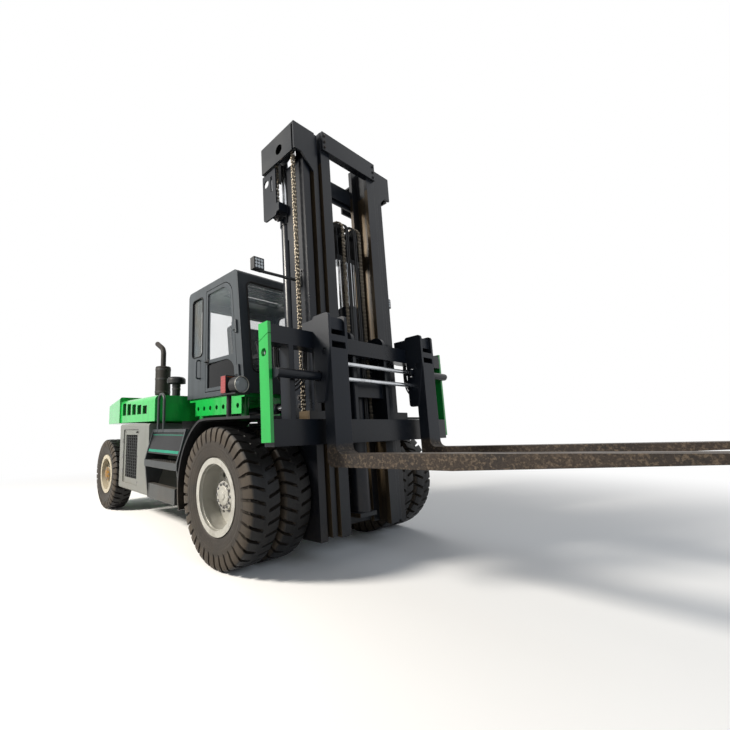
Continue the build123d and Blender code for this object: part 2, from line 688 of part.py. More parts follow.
# Chassis, engine and counterweight
def chassis_frame():
    """Two side plates, waisted between the steered wheels, with cross plates and the mast lugs."""
    frame = None
    front = (FRAME_WAIST_X, FRAME_FRONT_X)
    tail = (CW_TAIL_X, FRAME_WAIST_X)
    lug_y = FRAME_Y + MAST_LUG_OUT
    for side in (-1, 1):
        ys = sorted((side * (FRAME_Y - FRAME_T), side * FRAME_Y))
        plate = block(front, ys, (FRAME_LOW_Z, FRAME_HIGH_Z))
        plate -= ring(AXLE_R, 0, (ys[0] - OVERRUN, ys[1] + OVERRUN), 0, AXLE_Z)
        tail_ys = sorted((side * (FRAME_TAIL_Y - FRAME_T), side * FRAME_TAIL_Y))
        plate += block(tail, tail_ys, (FRAME_TAIL_LOW_Z, CW_LOW_Z - SEAT_GAP))
        lug_ys = sorted((side * (FRAME_Y - FRAME_T), side * lug_y))
        lug = ring(MAST_LUG_R, 0, lug_ys, PIVOT_X, PIVOT_Z)
        for x in CAB_MOUNT_X:
            reach = sorted((side * (FRAME_Y - FRAME_T), side * (FENDER_Y[0] - SEAT_GAP)))
            outrigger_x = (x - OUTRIGGER_W / 2, x + OUTRIGGER_W / 2)
            lug += block(outrigger_x, reach, (FRAME_HIGH_Z - OUTRIGGER_H, FRAME_HIGH_Z))
        arm_x = (-FENDER_ARM_W / 2, FENDER_ARM_W / 2)
        arm_top = FENDER_TOP_Z - SEAT_GAP
        lug += block(arm_x, ys, (FRAME_HIGH_Z - OUTRIGGER_H, arm_top))
        lug += block(arm_x, sorted((side * (FRAME_Y - FRAME_T), side * (FENDER_Y[0] + OUTRIGGER_H))),
                     (arm_top - FENDER_ARM_T, arm_top))
        pin_ys = sorted((side * (FRAME_Y - FRAME_T), side * PIVOT_BRACKET_Y[1]))
        lug += ring(PIVOT_PIN_R - SEAT_GAP, 0, pin_ys, PIVOT_X, PIVOT_Z)
        frame = plate + lug if frame is None else frame + (plate + lug)
    length = FRAME_FRONT_X - FRAME_WAIST_X
    inside = (-FRAME_Y + FRAME_T, FRAME_Y - FRAME_T)
    for share in CROSS_SHARES:
        x = FRAME_FRONT_X - share * length
        height = (FRAME_LOW_Z, AXLE_Z - DIFF_R) if x > ENGINE_X[1] else (FRAME_LOW_Z, ENGINE_Z[0] - SEAT_GAP)
        frame += block((x - CROSS_T, x), inside, (height[0], max(height[1], FRAME_LOW_Z + CROSS_T)))
    frame += block((FRAME_WAIST_X, FRAME_WAIST_X + CROSS_T), (-FRAME_Y, FRAME_Y), (FRAME_LOW_Z, FRAME_HIGH_Z))
    frame += block((CW_TAIL_X, CW_TAIL_X + CROSS_T), (-FRAME_TAIL_Y, FRAME_TAIL_Y),
                   (FRAME_TAIL_LOW_Z, CW_LOW_Z - SEAT_GAP))
    for way in (-1, 1):
        near = -WHEELBASE + way * (BEAM_HALF_X + HANGER_GAP)
        xs = sorted((near, near + way * HANGER_T))
        hanger = rod_along("x", (xs[0], 0, STEER_Z), HANGER_T, HANGER_R)
        hanger += block(xs, (-HANGER_R, HANGER_R), (STEER_Z, FRAME_TAIL_LOW_Z + CROSS_T))
        hanger += block(xs, (-FRAME_TAIL_Y, FRAME_TAIL_Y), (FRAME_TAIL_LOW_Z, FRAME_TAIL_LOW_Z + CROSS_T))
        hanger -= rod_along("x", (xs[0] - OVERRUN, 0, STEER_Z), HANGER_T + 2 * OVERRUN, TRUNNION_R + SEAT_GAP)
        frame += hanger
    return frame


def counterweight():
    """Cast block over the steered wheels, narrowing rearwards, with the tail between them."""
    plan = Polyline((CW_FRONT_X, -CW_Y), (CW_REAR_X, -CW_REAR_Y), (CW_REAR_X, CW_REAR_Y), (CW_FRONT_X, CW_Y),
                    close=True)
    body = extrude(Plane.XY.offset(CW_LOW_Z) * make_face(plan), amount=CW_TOP_Z - CW_LOW_Z)
    slope = Polyline((CW_FRONT_X, CW_TOP_Z), (CW_REAR_X, CW_REAR_TOP_Z), (CW_REAR_X, CW_TOP_Z), close=True)
    body -= side_profile(slope, (-CW_Y, CW_Y))
    corners = body.edges().filter_by(Axis.Z).group_by(Axis.X)[0]
    body = fillet(corners, CW_CORNER_R)
    top_edges = body.faces().sort_by(Axis.Z)[-1].edges()
    rim_edges = [edge for edge in top_edges if edge.center().X < CW_FRONT_X - CW_EDGE_R]
    body = fillet(rim_edges, CW_EDGE_R)
    tail = block((CW_REAR_X, CW_TAIL_X), (-CW_TAIL_Y, CW_TAIL_Y), (CW_TAIL_LOW_Z, CW_LOW_Z))
    grille_x = (CW_REAR_X - OVERRUN, CW_REAR_X + CW_GRILLE_DEPTH)
    tail -= block(grille_x, (-CW_GRILLE_Y, CW_GRILLE_Y), CW_GRILLE_Z)
    pitch = 2 * CW_GRILLE_Y / (CW_GRILLE_BARS + 1)
    for index in range(CW_GRILLE_BARS):
        y = -CW_GRILLE_Y + (index + 1) * pitch
        tail += block((CW_REAR_X + CW_BAR_T, CW_REAR_X + 2 * CW_BAR_T), (y - CW_BAR_W / 2, y + CW_BAR_W / 2),
                      (CW_GRILLE_Z[0] - CW_BAR_T, CW_GRILLE_Z[1] + CW_BAR_T))
    slot_deep = CW_REAR_X + 2 * TOW_BORE_INSET
    tail -= block((CW_REAR_X - OVERRUN, slot_deep), (-TOW_SLOT_Y, TOW_SLOT_Y), TOW_SLOT_Z)
    for side in (-1, 1):
        near = HOOD_HINGE_Y + HOOD_HINGE_L + SEAT_GAP
        ys = sorted((side * near, side * (near + HOOD_ARM_W)))
        body += block((CW_FRONT_X - HOOD_HINGE_L, HOOD_HINGE_POINT[0] - SEAT_GAP), ys,
                      (CW_TOP_Z - 2 * HOOD_HINGE_R, HOOD_HINGE_POINT[1] + HOOD_HINGE_R))
        body += rod_along("y", (HOOD_HINGE_POINT[0], ys[0], HOOD_HINGE_POINT[1]), HOOD_ARM_W, HOOD_HINGE_R)
    bore = (CW_REAR_X + TOW_BORE_INSET, 0, CW_TAIL_LOW_Z - OVERRUN)
    tail -= rod_along("z", bore, TOW_SLOT_Z[1] - CW_TAIL_LOW_Z + 3 * OVERRUN, TOW_BORE_R)
    return body + tail


def engine_block():
    """Diesel engine as one plain block, seated on the cross plates."""
    return block(ENGINE_X, (-ENGINE_Y, ENGINE_Y), ENGINE_Z)


# Shroud and hood
def engine_shroud():
    """Sheet metal box over the engine: side walls with vent slots, shoulders and end walls."""
    xs = (CW_FRONT_X, SHROUD_FRONT_X)
    shell = block(xs, (-SHROUD_Y, SHROUD_Y), (SHROUD_LOW_Z, SHROUD_SIDE_Z))
    long_edges = shell.edges().filter_by(Axis.X).group_by(Axis.Z)[-1]
    shell = fillet(long_edges, SHROUD_EDGE_R)
    inner = (xs[0] - OVERRUN, xs[1] - SHROUD_T)
    shell -= block(inner, (-SHROUD_Y + SHROUD_T, SHROUD_Y - SHROUD_T),
                   (SHROUD_LOW_Z - OVERRUN, SHROUD_SIDE_Z - SHROUD_T))
    shell -= block((xs[0] - OVERRUN, xs[1] - SHROUD_T), (-HOOD_Y, HOOD_Y),
                   (SHROUD_LOW_Z - OVERRUN, SHROUD_SIDE_Z + OVERRUN))
    pitch = (VENT_X[1] - VENT_X[0]) / VENT_COUNT
    for index in range(VENT_COUNT):
        low_x = VENT_X[0] + index * pitch
        share = index / (VENT_COUNT - 1)
        top = VENT_TOP_REAR_Z + share * (VENT_TOP_FRONT_Z - VENT_TOP_REAR_Z)
        shell -= block((low_x, low_x + pitch * VENT_FILL_SHARE), (-SHROUD_Y - OVERRUN, SHROUD_Y + OVERRUN),
                       (VENT_LOW_Z, top))
    return shell


def engine_hood():
    """Crowned lid over the engine, hinged along its rear edge."""
    xs = (CW_FRONT_X + HOOD_END_GAP, SHROUD_FRONT_X)
    y = HOOD_Y + HOOD_SILL_Y
    low = SHROUD_SIDE_Z + SEAT_GAP
    arc = ThreePointArc((-y, low), (0, low + HOOD_RISE), (y, low))
    inner = ThreePointArc((y - HOOD_T, low), (0, low + HOOD_RISE - HOOD_T), (-y + HOOD_T, low))
    outline = make_face(Curve() + [arc, Line(arc @ 1, inner @ 0), inner, Line(inner @ 1, arc @ 0)])
    skin = extrude(Plane.YZ.offset(xs[0]) * outline, amount=xs[1] - xs[0])
    solid_outline = make_face(Curve() + [arc, Line(arc @ 1, arc @ 0)])
    for low_x in (xs[0], xs[1] - HOOD_T):
        skin += extrude(Plane.YZ.offset(low_x) * solid_outline, amount=HOOD_T)
    for side in (-1, 1):
        ys = sorted((side * HOOD_HINGE_Y, side * (HOOD_HINGE_Y + HOOD_HINGE_L)))
        place = (HOOD_HINGE_POINT[0], ys[0], HOOD_HINGE_POINT[1])
        skin += rod_along("y", place, HOOD_HINGE_L, HOOD_HINGE_R)
        skin += block((place[0], place[0] + 2 * HOOD_HINGE_R), ys, (low, place[2]))
    return skin


# Side tanks, steps, fenders
def side_tank():
    """Left tank box with its recessed access door and mesh panel, cut clear of the steered wheel."""
    body = block(TANK_X, TANK_Y, TANK_Z)
    edges = body.edges().filter_by(Axis.X).group_by(Axis.Y)[-1]
    body = fillet(edges, TANK_EDGE_R)
    door = block(PANEL_X, (TANK_Y[1] - PANEL_RECESS, TANK_Y[1] + OVERRUN), PANEL_Z)
    door = fillet(door.edges().filter_by(Axis.Y), PANEL_EDGE_R)
    body -= door
    body -= block(MESH_X, (TANK_Y[1] - MESH_RECESS, TANK_Y[1] + OVERRUN), MESH_Z)
    bar_y = (TANK_Y[1] - MESH_RECESS, TANK_Y[1] - PANEL_RECESS)
    row = (MESH_Z[1] - MESH_Z[0]) / (MESH_ROWS + 1)
    column = (MESH_X[1] - MESH_X[0]) / (MESH_COLUMNS + 1)
    bars = [block(MESH_X, bar_y, (MESH_Z[0] + index * row, MESH_Z[0] + index * row + MESH_BAR_T))
            for index in range(1, MESH_ROWS + 1)]
    bars += [block((MESH_X[0] + index * column, MESH_X[0] + index * column + MESH_BAR_T), bar_y, MESH_Z)
             for index in range(1, MESH_COLUMNS + 1)]
    body += bars
    latch_z = (MESH_Z[1] + PANEL_Z[1]) / 2
    latch_x = PANEL_X[1] - LATCH_H
    body -= block((latch_x - LATCH_L, latch_x), (TANK_Y[1] - PANEL_RECESS - LATCH_H, TANK_Y[1]),
                  (latch_z - LATCH_H / 2, latch_z + LATCH_H / 2))
    swept = rod_along("z", (-WHEELBASE, KINGPIN_Y, TANK_Z[0] - OVERRUN), TANK_Z[1] - TANK_Z[0] + 2 * OVERRUN,
                      STEER_SWEEP_R)
    body -= swept
    for high in (FRAME_HIGH_Z, FRAME_LOW_Z + 3 * TANK_SHELF_T):
        shelf_x = (TANK_X[0] + STEER_R, TANK_X[1])
        body += block(shelf_x, (FRAME_Y + SEAT_GAP, TANK_Y[0]), (high - TANK_SHELF_T, high))
    return body


def steps():
    """Left steps: sill, lower tread and platform between two inclined sides, with the handrail."""
    sill = block((STEP_X[0], SILL_FRONT_X), SILL_Y, SILL_Z)
    tread = block(STEP_X, STEP_LOW_Y, STEP_LOW_Z)
    platform = block(STEP_X, STEP_TOP_Y, STEP_TOP_Z)
    ladder = tread + platform
    for x in STEP_X:
        low_x = x if x == STEP_X[0] else x - STEP_SIDE_T
        side = Polyline((SILL_Y[0], SILL_Z[0]), (SILL_Y[1], SILL_Z[0]), (STEP_LOW_Y[1], STEP_LOW_Z[1]),
                        (STEP_TOP_Y[1], STEP_TOP_Z[1]), (STEP_TOP_Y[0], STEP_TOP_Z[1]),
                        (STEP_TOP_Y[0], STEP_TOP_Z[0]), (STEP_LOW_Y[0], STEP_LOW_Z[0]), close=True)
        ladder += extrude(Plane.YZ.offset(low_x) * make_face(side), amount=STEP_SIDE_T)
    ladder += sill
    path = FilletPolyline((RAIL_X[0], RAIL_Y, STEP_TOP_Z[0]), (RAIL_X[0], RAIL_Y, RAIL_TOP_Z),
                          (RAIL_X[1], RAIL_Y, RAIL_TOP_Z), (RAIL_X[1], RAIL_Y, STEP_TOP_Z[0]),
                          radius=RAIL_BEND_R)
    rail = sweep(Plane(path @ 0, z_dir=path % 0) * Circle(RAIL_R), path=path)
    return ladder + rail


def fender():
    """Left arch over the drive wheels with its flat front deck."""
    low, crest = radians(FENDER_LOW_ANGLE), radians(FENDER_CREST_ANGLE)

    def rim_point(radius, angle):
        return (radius * cos(angle), AXLE_Z + radius * sin(angle))

    outer_r, middle = FENDER_R + FENDER_T, (low + crest) / 2
    deck = FENDER_TOP_Z + FENDER_T
    arch = ThreePointArc(rim_point(FENDER_R, low), rim_point(FENDER_R, middle), rim_point(FENDER_R, crest))
    back = ThreePointArc(rim_point(outer_r, crest), rim_point(outer_r, middle), rim_point(outer_r, low))
    front = Polyline(arch @ 1, (FENDER_R * cos(crest) / 2, FENDER_TOP_Z), (FENDER_FRONT_X, FENDER_TOP_Z),
                     (FENDER_FRONT_X, deck), (FENDER_R * cos(crest) / 2, deck), back @ 0)
    outline = Curve() + [arch, front, back, Line(back @ 1, arch @ 0)]
    guard = side_profile(outline, FENDER_Y)
    return guard - block((FENDER_NOTCH_X, FENDER_FRONT_X + OVERRUN), (FENDER_Y[0] - OVERRUN, FENDER_FRONT_Y),
                         (FENDER_TOP_Z - OVERRUN, deck + OVERRUN))


# Cab
def cab_front_x(z):
    """Place of the leaning front face at a height."""
    share = (z - CAB_BASE_Z) / (CAB_ROOF_Z - CAB_BASE_Z)
    return CAB_FRONT_LOW_X + share * (CAB_FRONT_TOP_X - CAB_FRONT_LOW_X)


def cab_outline(inset, low_z, top_z):
    """Side outline of the cab, drawn in by an inset."""
    return Polyline((CAB_REAR_X + inset, low_z), (cab_front_x(low_z) - inset, low_z),
                    (cab_front_x(top_z) - inset, top_z), (CAB_REAR_X + inset, top_z), close=True)


def door_outline(inset, low_z, top_z):
    """Side outline of the door; its front edge follows the pillar and its top front corner is arched."""
    rear = DOOR_REAR_X + inset
    front_low = cab_front_x(low_z) - DOOR_PILLAR_W - inset
    front_top = cab_front_x(top_z) - DOOR_PILLAR_W - inset
    path = FilletPolyline((rear, low_z), (front_low, low_z), (front_top, top_z), (rear, top_z),
                          radius=[SCREEN_R / 2, DOOR_ARCH_R])
    return Curve() + [path, Line(path @ 1, path @ 0)]


def on_hinge(shape, z):
    """Puts a shape, drawn along Z, on the left door's leaning hinge line at a height."""
    return Pos(cab_front_x(z) - HINGE_INSET, CAB_Y + HINGE_R, z) * Rot(0, -CAB_LEAN, 0) * shape


def hinge_heights():
    return [DOOR_LOW_Z + share * (DOOR_TOP_Z - DOOR_LOW_Z) for share in HINGE_SHARES]


def cab_frame():
    """Hollow welded cab with its door, quarter, front, rear and roof openings."""
    body = side_profile(cab_outline(0, CAB_BASE_Z, CAB_ROOF_Z), (-CAB_Y, CAB_Y))
    body = fillet(body.edges().filter_by(Axis.Y).group_by(Axis.Z)[-1], CAB_EDGE_R)
    hollow = cab_outline(CAB_WALL, CAB_BASE_Z - OVERRUN, CAB_ROOF_Z - CAB_ROOF_T)
    body -= side_profile(hollow, (-CAB_Y + CAB_WALL, CAB_Y - CAB_WALL))
    across = (-CAB_Y - OVERRUN, CAB_Y + OVERRUN)
    body -= side_profile(door_outline(0, DOOR_LOW_Z, DOOR_TOP_Z), across)
    quarter = block(QUARTER_X, across, QUARTER_Z)
    body -= fillet(quarter.edges().filter_by(Axis.Y), QUARTER_R)
    screen = block((CAB_REAR_X + 2 * CAB_WALL, CAB_FRONT_LOW_X + OVERRUN), (-SCREEN_Y, SCREEN_Y), SCREEN_Z)
    body -= fillet(screen.edges().filter_by(Axis.X), SCREEN_R)
    rear = block((CAB_REAR_X - OVERRUN, CAB_REAR_X + 2 * CAB_WALL), (-REAR_WIN_Y, REAR_WIN_Y), REAR_WIN_Z)
    body -= fillet(rear.edges().filter_by(Axis.X), SCREEN_R)
    roof = block(ROOF_WIN_X, (-ROOF_WIN_Y, ROOF_WIN_Y), (CAB_ROOF_Z - 2 * CAB_ROOF_T, CAB_ROOF_Z + OVERRUN))
    body -= roof
    pitch = (ROOF_WIN_X[1] - ROOF_WIN_X[0]) / (ROOF_BAR_COUNT + 1)
    for index in range(ROOF_BAR_COUNT):
        x = ROOF_WIN_X[0] + (index + 1) * pitch
        body += block((x - ROOF_BAR_W / 2, x + ROOF_BAR_W / 2), (-ROOF_WIN_Y, ROOF_WIN_Y),
                      (CAB_ROOF_Z - CAB_ROOF_T / 2, CAB_ROOF_Z))
    path = FilletPolyline((GRAB_X, CAB_Y - CAB_WALL / 2, GRAB_Z[0]), (GRAB_X, CAB_Y + GRAB_OUT, GRAB_Z[0]),
                          (GRAB_X, CAB_Y + GRAB_OUT, GRAB_Z[1]), (GRAB_X, CAB_Y - CAB_WALL / 2, GRAB_Z[1]),
                          radius=GRAB_OUT / 2)
    handle = sweep(Plane(path @ 0, z_dir=path % 0) * Circle(GRAB_R), path=path)
    for side in both(handle):
        body += side
    for z in hinge_heights():
        lug = Cylinder(HINGE_R, HINGE_L / 2, align=(Align.CENTER, Align.CENTER, Align.MAX))
        lug += Pos(0, -HINGE_R, -HINGE_L / 4) * Box(2 * HINGE_R, 2 * HINGE_R, HINGE_L / 2)
        for side in both(on_hinge(lug, z)):
            body += side
    return body


def cab_glass():
    """Panes set in the front, rear, quarter and roof openings."""
    middle_z = (SCREEN_Z[0] + SCREEN_Z[1]) / 2
    height = (SCREEN_Z[1] - SCREEN_Z[0]) / cos(radians(CAB_LEAN))
    pane_gap = SEAT_GAP
    depth = CAB_WALL / 2
    screen = Box(GLASS_T, 2 * (SCREEN_Y - pane_gap), height - 2 * GLASS_T)
    screen = fillet(screen.edges().filter_by(Axis.X), SCREEN_R)
    screen = Pos(cab_front_x(middle_z) - depth, 0, middle_z) * Rot(0, -CAB_LEAN, 0) * screen
    rear_x = CAB_REAR_X + depth
    rear = block((rear_x - GLASS_T / 2, rear_x + GLASS_T / 2),
                 (-REAR_WIN_Y + pane_gap, REAR_WIN_Y - pane_gap),
                 (REAR_WIN_Z[0] + pane_gap, REAR_WIN_Z[1] - pane_gap))
    rear = fillet(rear.edges().filter_by(Axis.X), SCREEN_R)
    side_y = CAB_Y - depth
    quarter = block((QUARTER_X[0] + pane_gap, QUARTER_X[1] - pane_gap),
                    (side_y - GLASS_T / 2, side_y + GLASS_T / 2),
                    (QUARTER_Z[0] + pane_gap, QUARTER_Z[1] - pane_gap))
    quarter = fillet(quarter.edges().filter_by(Axis.Y), QUARTER_R)
    roof_z = CAB_ROOF_Z - CAB_ROOF_T + GLASS_T
    roof = block((ROOF_WIN_X[0] + pane_gap, ROOF_WIN_X[1] - pane_gap),
                 (-ROOF_WIN_Y + pane_gap, ROOF_WIN_Y - pane_gap),
                 (roof_z, roof_z + GLASS_T))
    return [screen, rear, roof] + both(quarter)


def door():
    """Left door: a slim frame with a cross rail, hinged along the leaning pillar, and its two panes."""
    ys = (CAB_Y - DOOR_T, CAB_Y)
    low, top = DOOR_LOW_Z + DOOR_GAP, DOOR_TOP_Z - DOOR_GAP
    frame = side_profile(door_outline(DOOR_GAP, low, top), ys)
    across = (ys[0] - OVERRUN, ys[1] + OVERRUN)
    inset = DOOR_GAP + DOOR_FRAME_W
    upper = door_outline(inset, DOOR_MID_Z + DOOR_FRAME_W / 2, top - DOOR_FRAME_W)
    lower = door_outline(inset, low + DOOR_FRAME_W, DOOR_MID_Z - DOOR_FRAME_W / 2)
    panes = []
    middle_y = (ys[0] + ys[1]) / 2
    for opening in (upper, lower):
        cut = side_profile(opening, across)
        frame -= cut
        sheet_ys = (middle_y - GLASS_T / 2, middle_y + GLASS_T / 2)
        panes.append(cut & block((DOOR_REAR_X, CAB_FRONT_LOW_X), sheet_ys, (DOOR_LOW_Z, DOOR_TOP_Z)))
    reach = DOOR_PILLAR_W + DOOR_FRAME_W - HINGE_INSET
    for z in hinge_heights():
        knuckle_low = Pos(0, 0, SEAT_GAP)
        barrel = knuckle_low * Cylinder(HINGE_R - SEAT_GAP, HINGE_L,
                                        align=(Align.CENTER, Align.CENTER, Align.MIN))
        barrel += knuckle_low * Box(reach, HINGE_R - SEAT_GAP, HINGE_L,
                                    align=(Align.MAX, Align.MAX, Align.MIN))
        barrel += knuckle_low * Pos(-reach, 0, 0) * Box(
            DOOR_FRAME_W / 2, HINGE_R + DOOR_T / 2, HINGE_L, align=(Align.MIN, Align.MAX, Align.MIN))
        frame += on_hinge(barrel, z)
    return frame, panes


def cab_floor():
    """Floor plate, the perforated side plates below it and the four cab mounts on the chassis."""
    front = cab_front_x(CAB_BASE_Z)
    floor = block((FLOOR_REAR_X, front - CAB_WALL), (-SUB_Y, SUB_Y),
                  (CAB_BASE_Z - FLOOR_T - SEAT_GAP, CAB_BASE_Z - SEAT_GAP))
    pitch = (SUB_X[1] - SUB_X[0]) / SUB_HOLES
    for side in (-1, 1):
        ys = sorted((side * (SUB_Y - SUB_T), side * SUB_Y))
        plate = block(SUB_X, ys, (SUB_Z[0], CAB_BASE_Z - FLOOR_T))
        middle = (SUB_Z[0] + SUB_Z[1]) / 2
        for index in range(SUB_HOLES):
            x = SUB_X[0] + (index + 1 / 2) * pitch
            plate -= ring(SUB_HOLE_R, 0, (ys[0] - OVERRUN, ys[1] + OVERRUN), x, middle)
        floor += plate
        for x in CAB_MOUNT_X:
            low = FRAME_HIGH_Z + SEAT_GAP
            floor += rod_along("z", (x, side * CAB_MOUNT_Y, low), CAB_BASE_Z - FLOOR_T - low, CAB_MOUNT_R)
    return floor


def operator_seat():
    """Seat cushion, back rest and suspension base."""
    low = CAB_BASE_Z - SEAT_GAP
    base_x = (SEAT_X - SEAT_BASE_X / 2, SEAT_X + SEAT_BASE_X / 2)
    base = block(base_x, (-SEAT_BASE_Y, SEAT_BASE_Y), (low, SEAT_Z))
    cushion = block((SEAT_X - SEAT_L / 2, SEAT_X + SEAT_L / 2), (-SEAT_Y, SEAT_Y), (SEAT_Z, SEAT_Z + SEAT_H))
    cushion = fillet(cushion.edges(), SEAT_EDGE_R)
    back = Box(SEAT_BACK_T, 2 * SEAT_Y, SEAT_BACK_H, align=(Align.CENTER, Align.CENTER, Align.MIN))
    back = fillet(back.edges(), SEAT_EDGE_R)
    back_place = Pos(SEAT_X - SEAT_L / 2 + SEAT_BACK_T / 2, 0, SEAT_Z + SEAT_H / 2)
    back = back_place * Rot(0, -SEAT_BACK_LEAN, 0) * back
    return base + cushion + back


def steering_console():
    """Front console with the steering column, spokes and steering wheel."""
    console = block(CONSOLE_X, (-CONSOLE_Y, CONSOLE_Y), (CAB_BASE_Z - SEAT_GAP, CONSOLE_Z))
    column_foot = (CONSOLE_X[0] + CONSOLE_Y / 2, 0, CONSOLE_Z - CONSOLE_Y / 2)
    column = rod_between(column_foot, (WHEEL_X, 0, WHEEL_Z), COLUMN_R)
    place = Pos(WHEEL_X, 0, WHEEL_Z) * Rot(0, -WHEEL_LEAN, 0)
    wheel = place * Torus(WHEEL_R, WHEEL_TUBE_R)
    for angle in (0, 120, 240):
        spoke = Rot(0, 0, angle) * rod_along("x", (0, 0, 0), WHEEL_R, WHEEL_SPOKE_R)
        wheel += place * spoke
    return console + column + wheel


# Exhaust, intake and lamps
def exhaust_stack():
    """Upright muffler on the shroud with its tail pipe, bent rearwards at the top."""
    low = SHROUD_SIDE_Z + SEAT_GAP
    body = rod_along("z", (MUFFLER_X, MUFFLER_Y, MUFFLER_Z[0]), MUFFLER_Z[1] - MUFFLER_Z[0], MUFFLER_R)
    body = fillet(body.edges(), STACK_R / 2)
    body += rod_along("z", (MUFFLER_X, MUFFLER_Y, low), MUFFLER_Z[0] - low + STACK_R, STACK_R)
    path = FilletPolyline((MUFFLER_X, MUFFLER_Y, MUFFLER_Z[1] - STACK_R), (MUFFLER_X, MUFFLER_Y, STACK_Z),
                          (MUFFLER_X - 2 * STACK_BEND_R, MUFFLER_Y, STACK_Z + STACK_BEND_R),
                          radius=STACK_BEND_R)
    pipe = sweep(Plane(path @ 0, z_dir=path % 0) * Circle(STACK_R), path=path)
    bore = rod_between(path @ STACK_BORE_SHARE, path @ 1, STACK_R - STACK_T)
    return body + pipe - bore


def air_intake():
    """Intake tube with its mushroom cap."""
    low = SHROUD_SIDE_Z + SEAT_GAP
    tube = rod_along("z", (INTAKE_X, INTAKE_Y, low), INTAKE_TOP_Z - CAP_H / 2 - low, INTAKE_R)
    cap_low = INTAKE_TOP_Z - CAP_H
    cap = rod_along("z", (INTAKE_X, INTAKE_Y, cap_low), CAP_H, CAP_R)
    cap = fillet(cap.edges().group_by(Axis.Z)[-1], CAP_H / 2)
    cap -= rod_along("z", (INTAKE_X, INTAKE_Y, cap_low - OVERRUN), OVERRUN + CAP_SKIRT_H / 2, CAP_R - STACK_T)
    return tube + cap


def headlamp():
    """Left lamp group on its post: round headlamp in front, signal lamp beside it."""
    deck = FENDER_TOP_Z + FENDER_T + SEAT_GAP
    middle = LAMP_Z[0] + LAMP_R - LAMP_PLATE_T / 4
    post = rod_along("z", (LAMP_PLATE_X[0] + LAMP_POST_R, LAMP_Y, deck), LAMP_Z[0] - deck, LAMP_POST_R)
    plate = block(LAMP_PLATE_X, (LAMP_Y - LAMP_R, LAMP_Y + LAMP_R), (LAMP_Z[0] - LAMP_PLATE_T, LAMP_Z[0]))
    lamp = rod_along("x", (LAMP_X - LAMP_DEPTH / 2, LAMP_Y, middle), LAMP_DEPTH, LAMP_R)
    face = LAMP_X + LAMP_DEPTH / 2
    lamp -= rod_along("x", (face - LENS_SET, LAMP_Y, middle), LENS_SET + OVERRUN, LAMP_R - LAMP_BEZEL)
    lamp += rod_along("x", (face - LENS_SET, LAMP_Y, middle), LENS_SET / 2, LAMP_R - 2 * LAMP_BEZEL)
    signal = block(TURN_X, (LAMP_Y - LAMP_R, LAMP_Y + LAMP_R), LAMP_Z)
    inside = (LAMP_Z[0] + LAMP_BEZEL, LAMP_Z[1] - LAMP_BEZEL)
    signal -= block((TURN_X[0] + LAMP_BEZEL, TURN_X[1] - LAMP_BEZEL),
                    (LAMP_Y + LAMP_R - LENS_SET, LAMP_Y + LAMP_R + OVERRUN), inside)
    signal -= block((TURN_X[1] - LENS_SET, TURN_X[1] + OVERRUN),
                    (LAMP_Y - LAMP_R + LAMP_BEZEL, LAMP_Y + LAMP_R - LAMP_BEZEL), (middle + LAMP_R, inside[1]))
    return post + plate + lamp + signal


# Mast
def rail_pair(ys, u, low_w, top_w):
    """Left C rail, open inwards."""
    depth = (u, u + RAIL_DEPTH)
    rail = block(depth, ys, (low_w, top_w))
    hollow = (u + RAIL_FLANGE_T, u + RAIL_DEPTH - RAIL_FLANGE_T)
    return rail - block(hollow, (ys[0] - OVERRUN, ys[1] - RAIL_WEB_T), (low_w - OVERRUN, top_w + OVERRUN))


def rollers(ys, u, places):
    """Rollers on stub pins, as carried by the rail or plate that stands at the low end of ys."""
    pieces = None
    for w in places:
        wheel = ring(ROLLER_R, 0, (ys[0] + ROLLER_SIDE_GAP, ys[1]), u, w)
        pin = ring(ROLLER_PIN_R, 0, (ys[0] - RAIL_WEB_T / 2, ys[0] + ROLLER_SIDE_GAP), u, w)
        pieces = wheel + pin if pieces is None else pieces + wheel + pin
    return pieces


def ties(half_y, u, foot_w, top_w, shares):
    """Tie plates across the backs of the rails, at shares of the rails' height."""
    plates = None
    for low, high in shares:
        ws = (foot_w + low * (top_w - foot_w), foot_w + high * (top_w - foot_w))
        plate = block((u - TIE_T + TIE_SINK, u + TIE_SINK), (-half_y, half_y), ws)
        plates = plate if plates is None else plates + plate
    return plates


def mast_outer():
    """Outer mast: rails, ties, pivot brackets, side plates, cylinder and chain brackets."""
    body = ties(OUTER_Y[1], OUTER_U, MAST_LOW_W, OUTER_TOP_W, OUTER_TIE_SHARES)
    body += block((OUTER_U - TIE_T + TIE_SINK, OUTER_U + TIE_SINK), (-OUTER_Y[1], OUTER_Y[1]),
                  (TILT_EYE_W - TILT_TIE_BELOW, TILT_EYE_W + TILT_TIE_ABOVE))
    for side in both(outer_side()):
        body += side
    return body


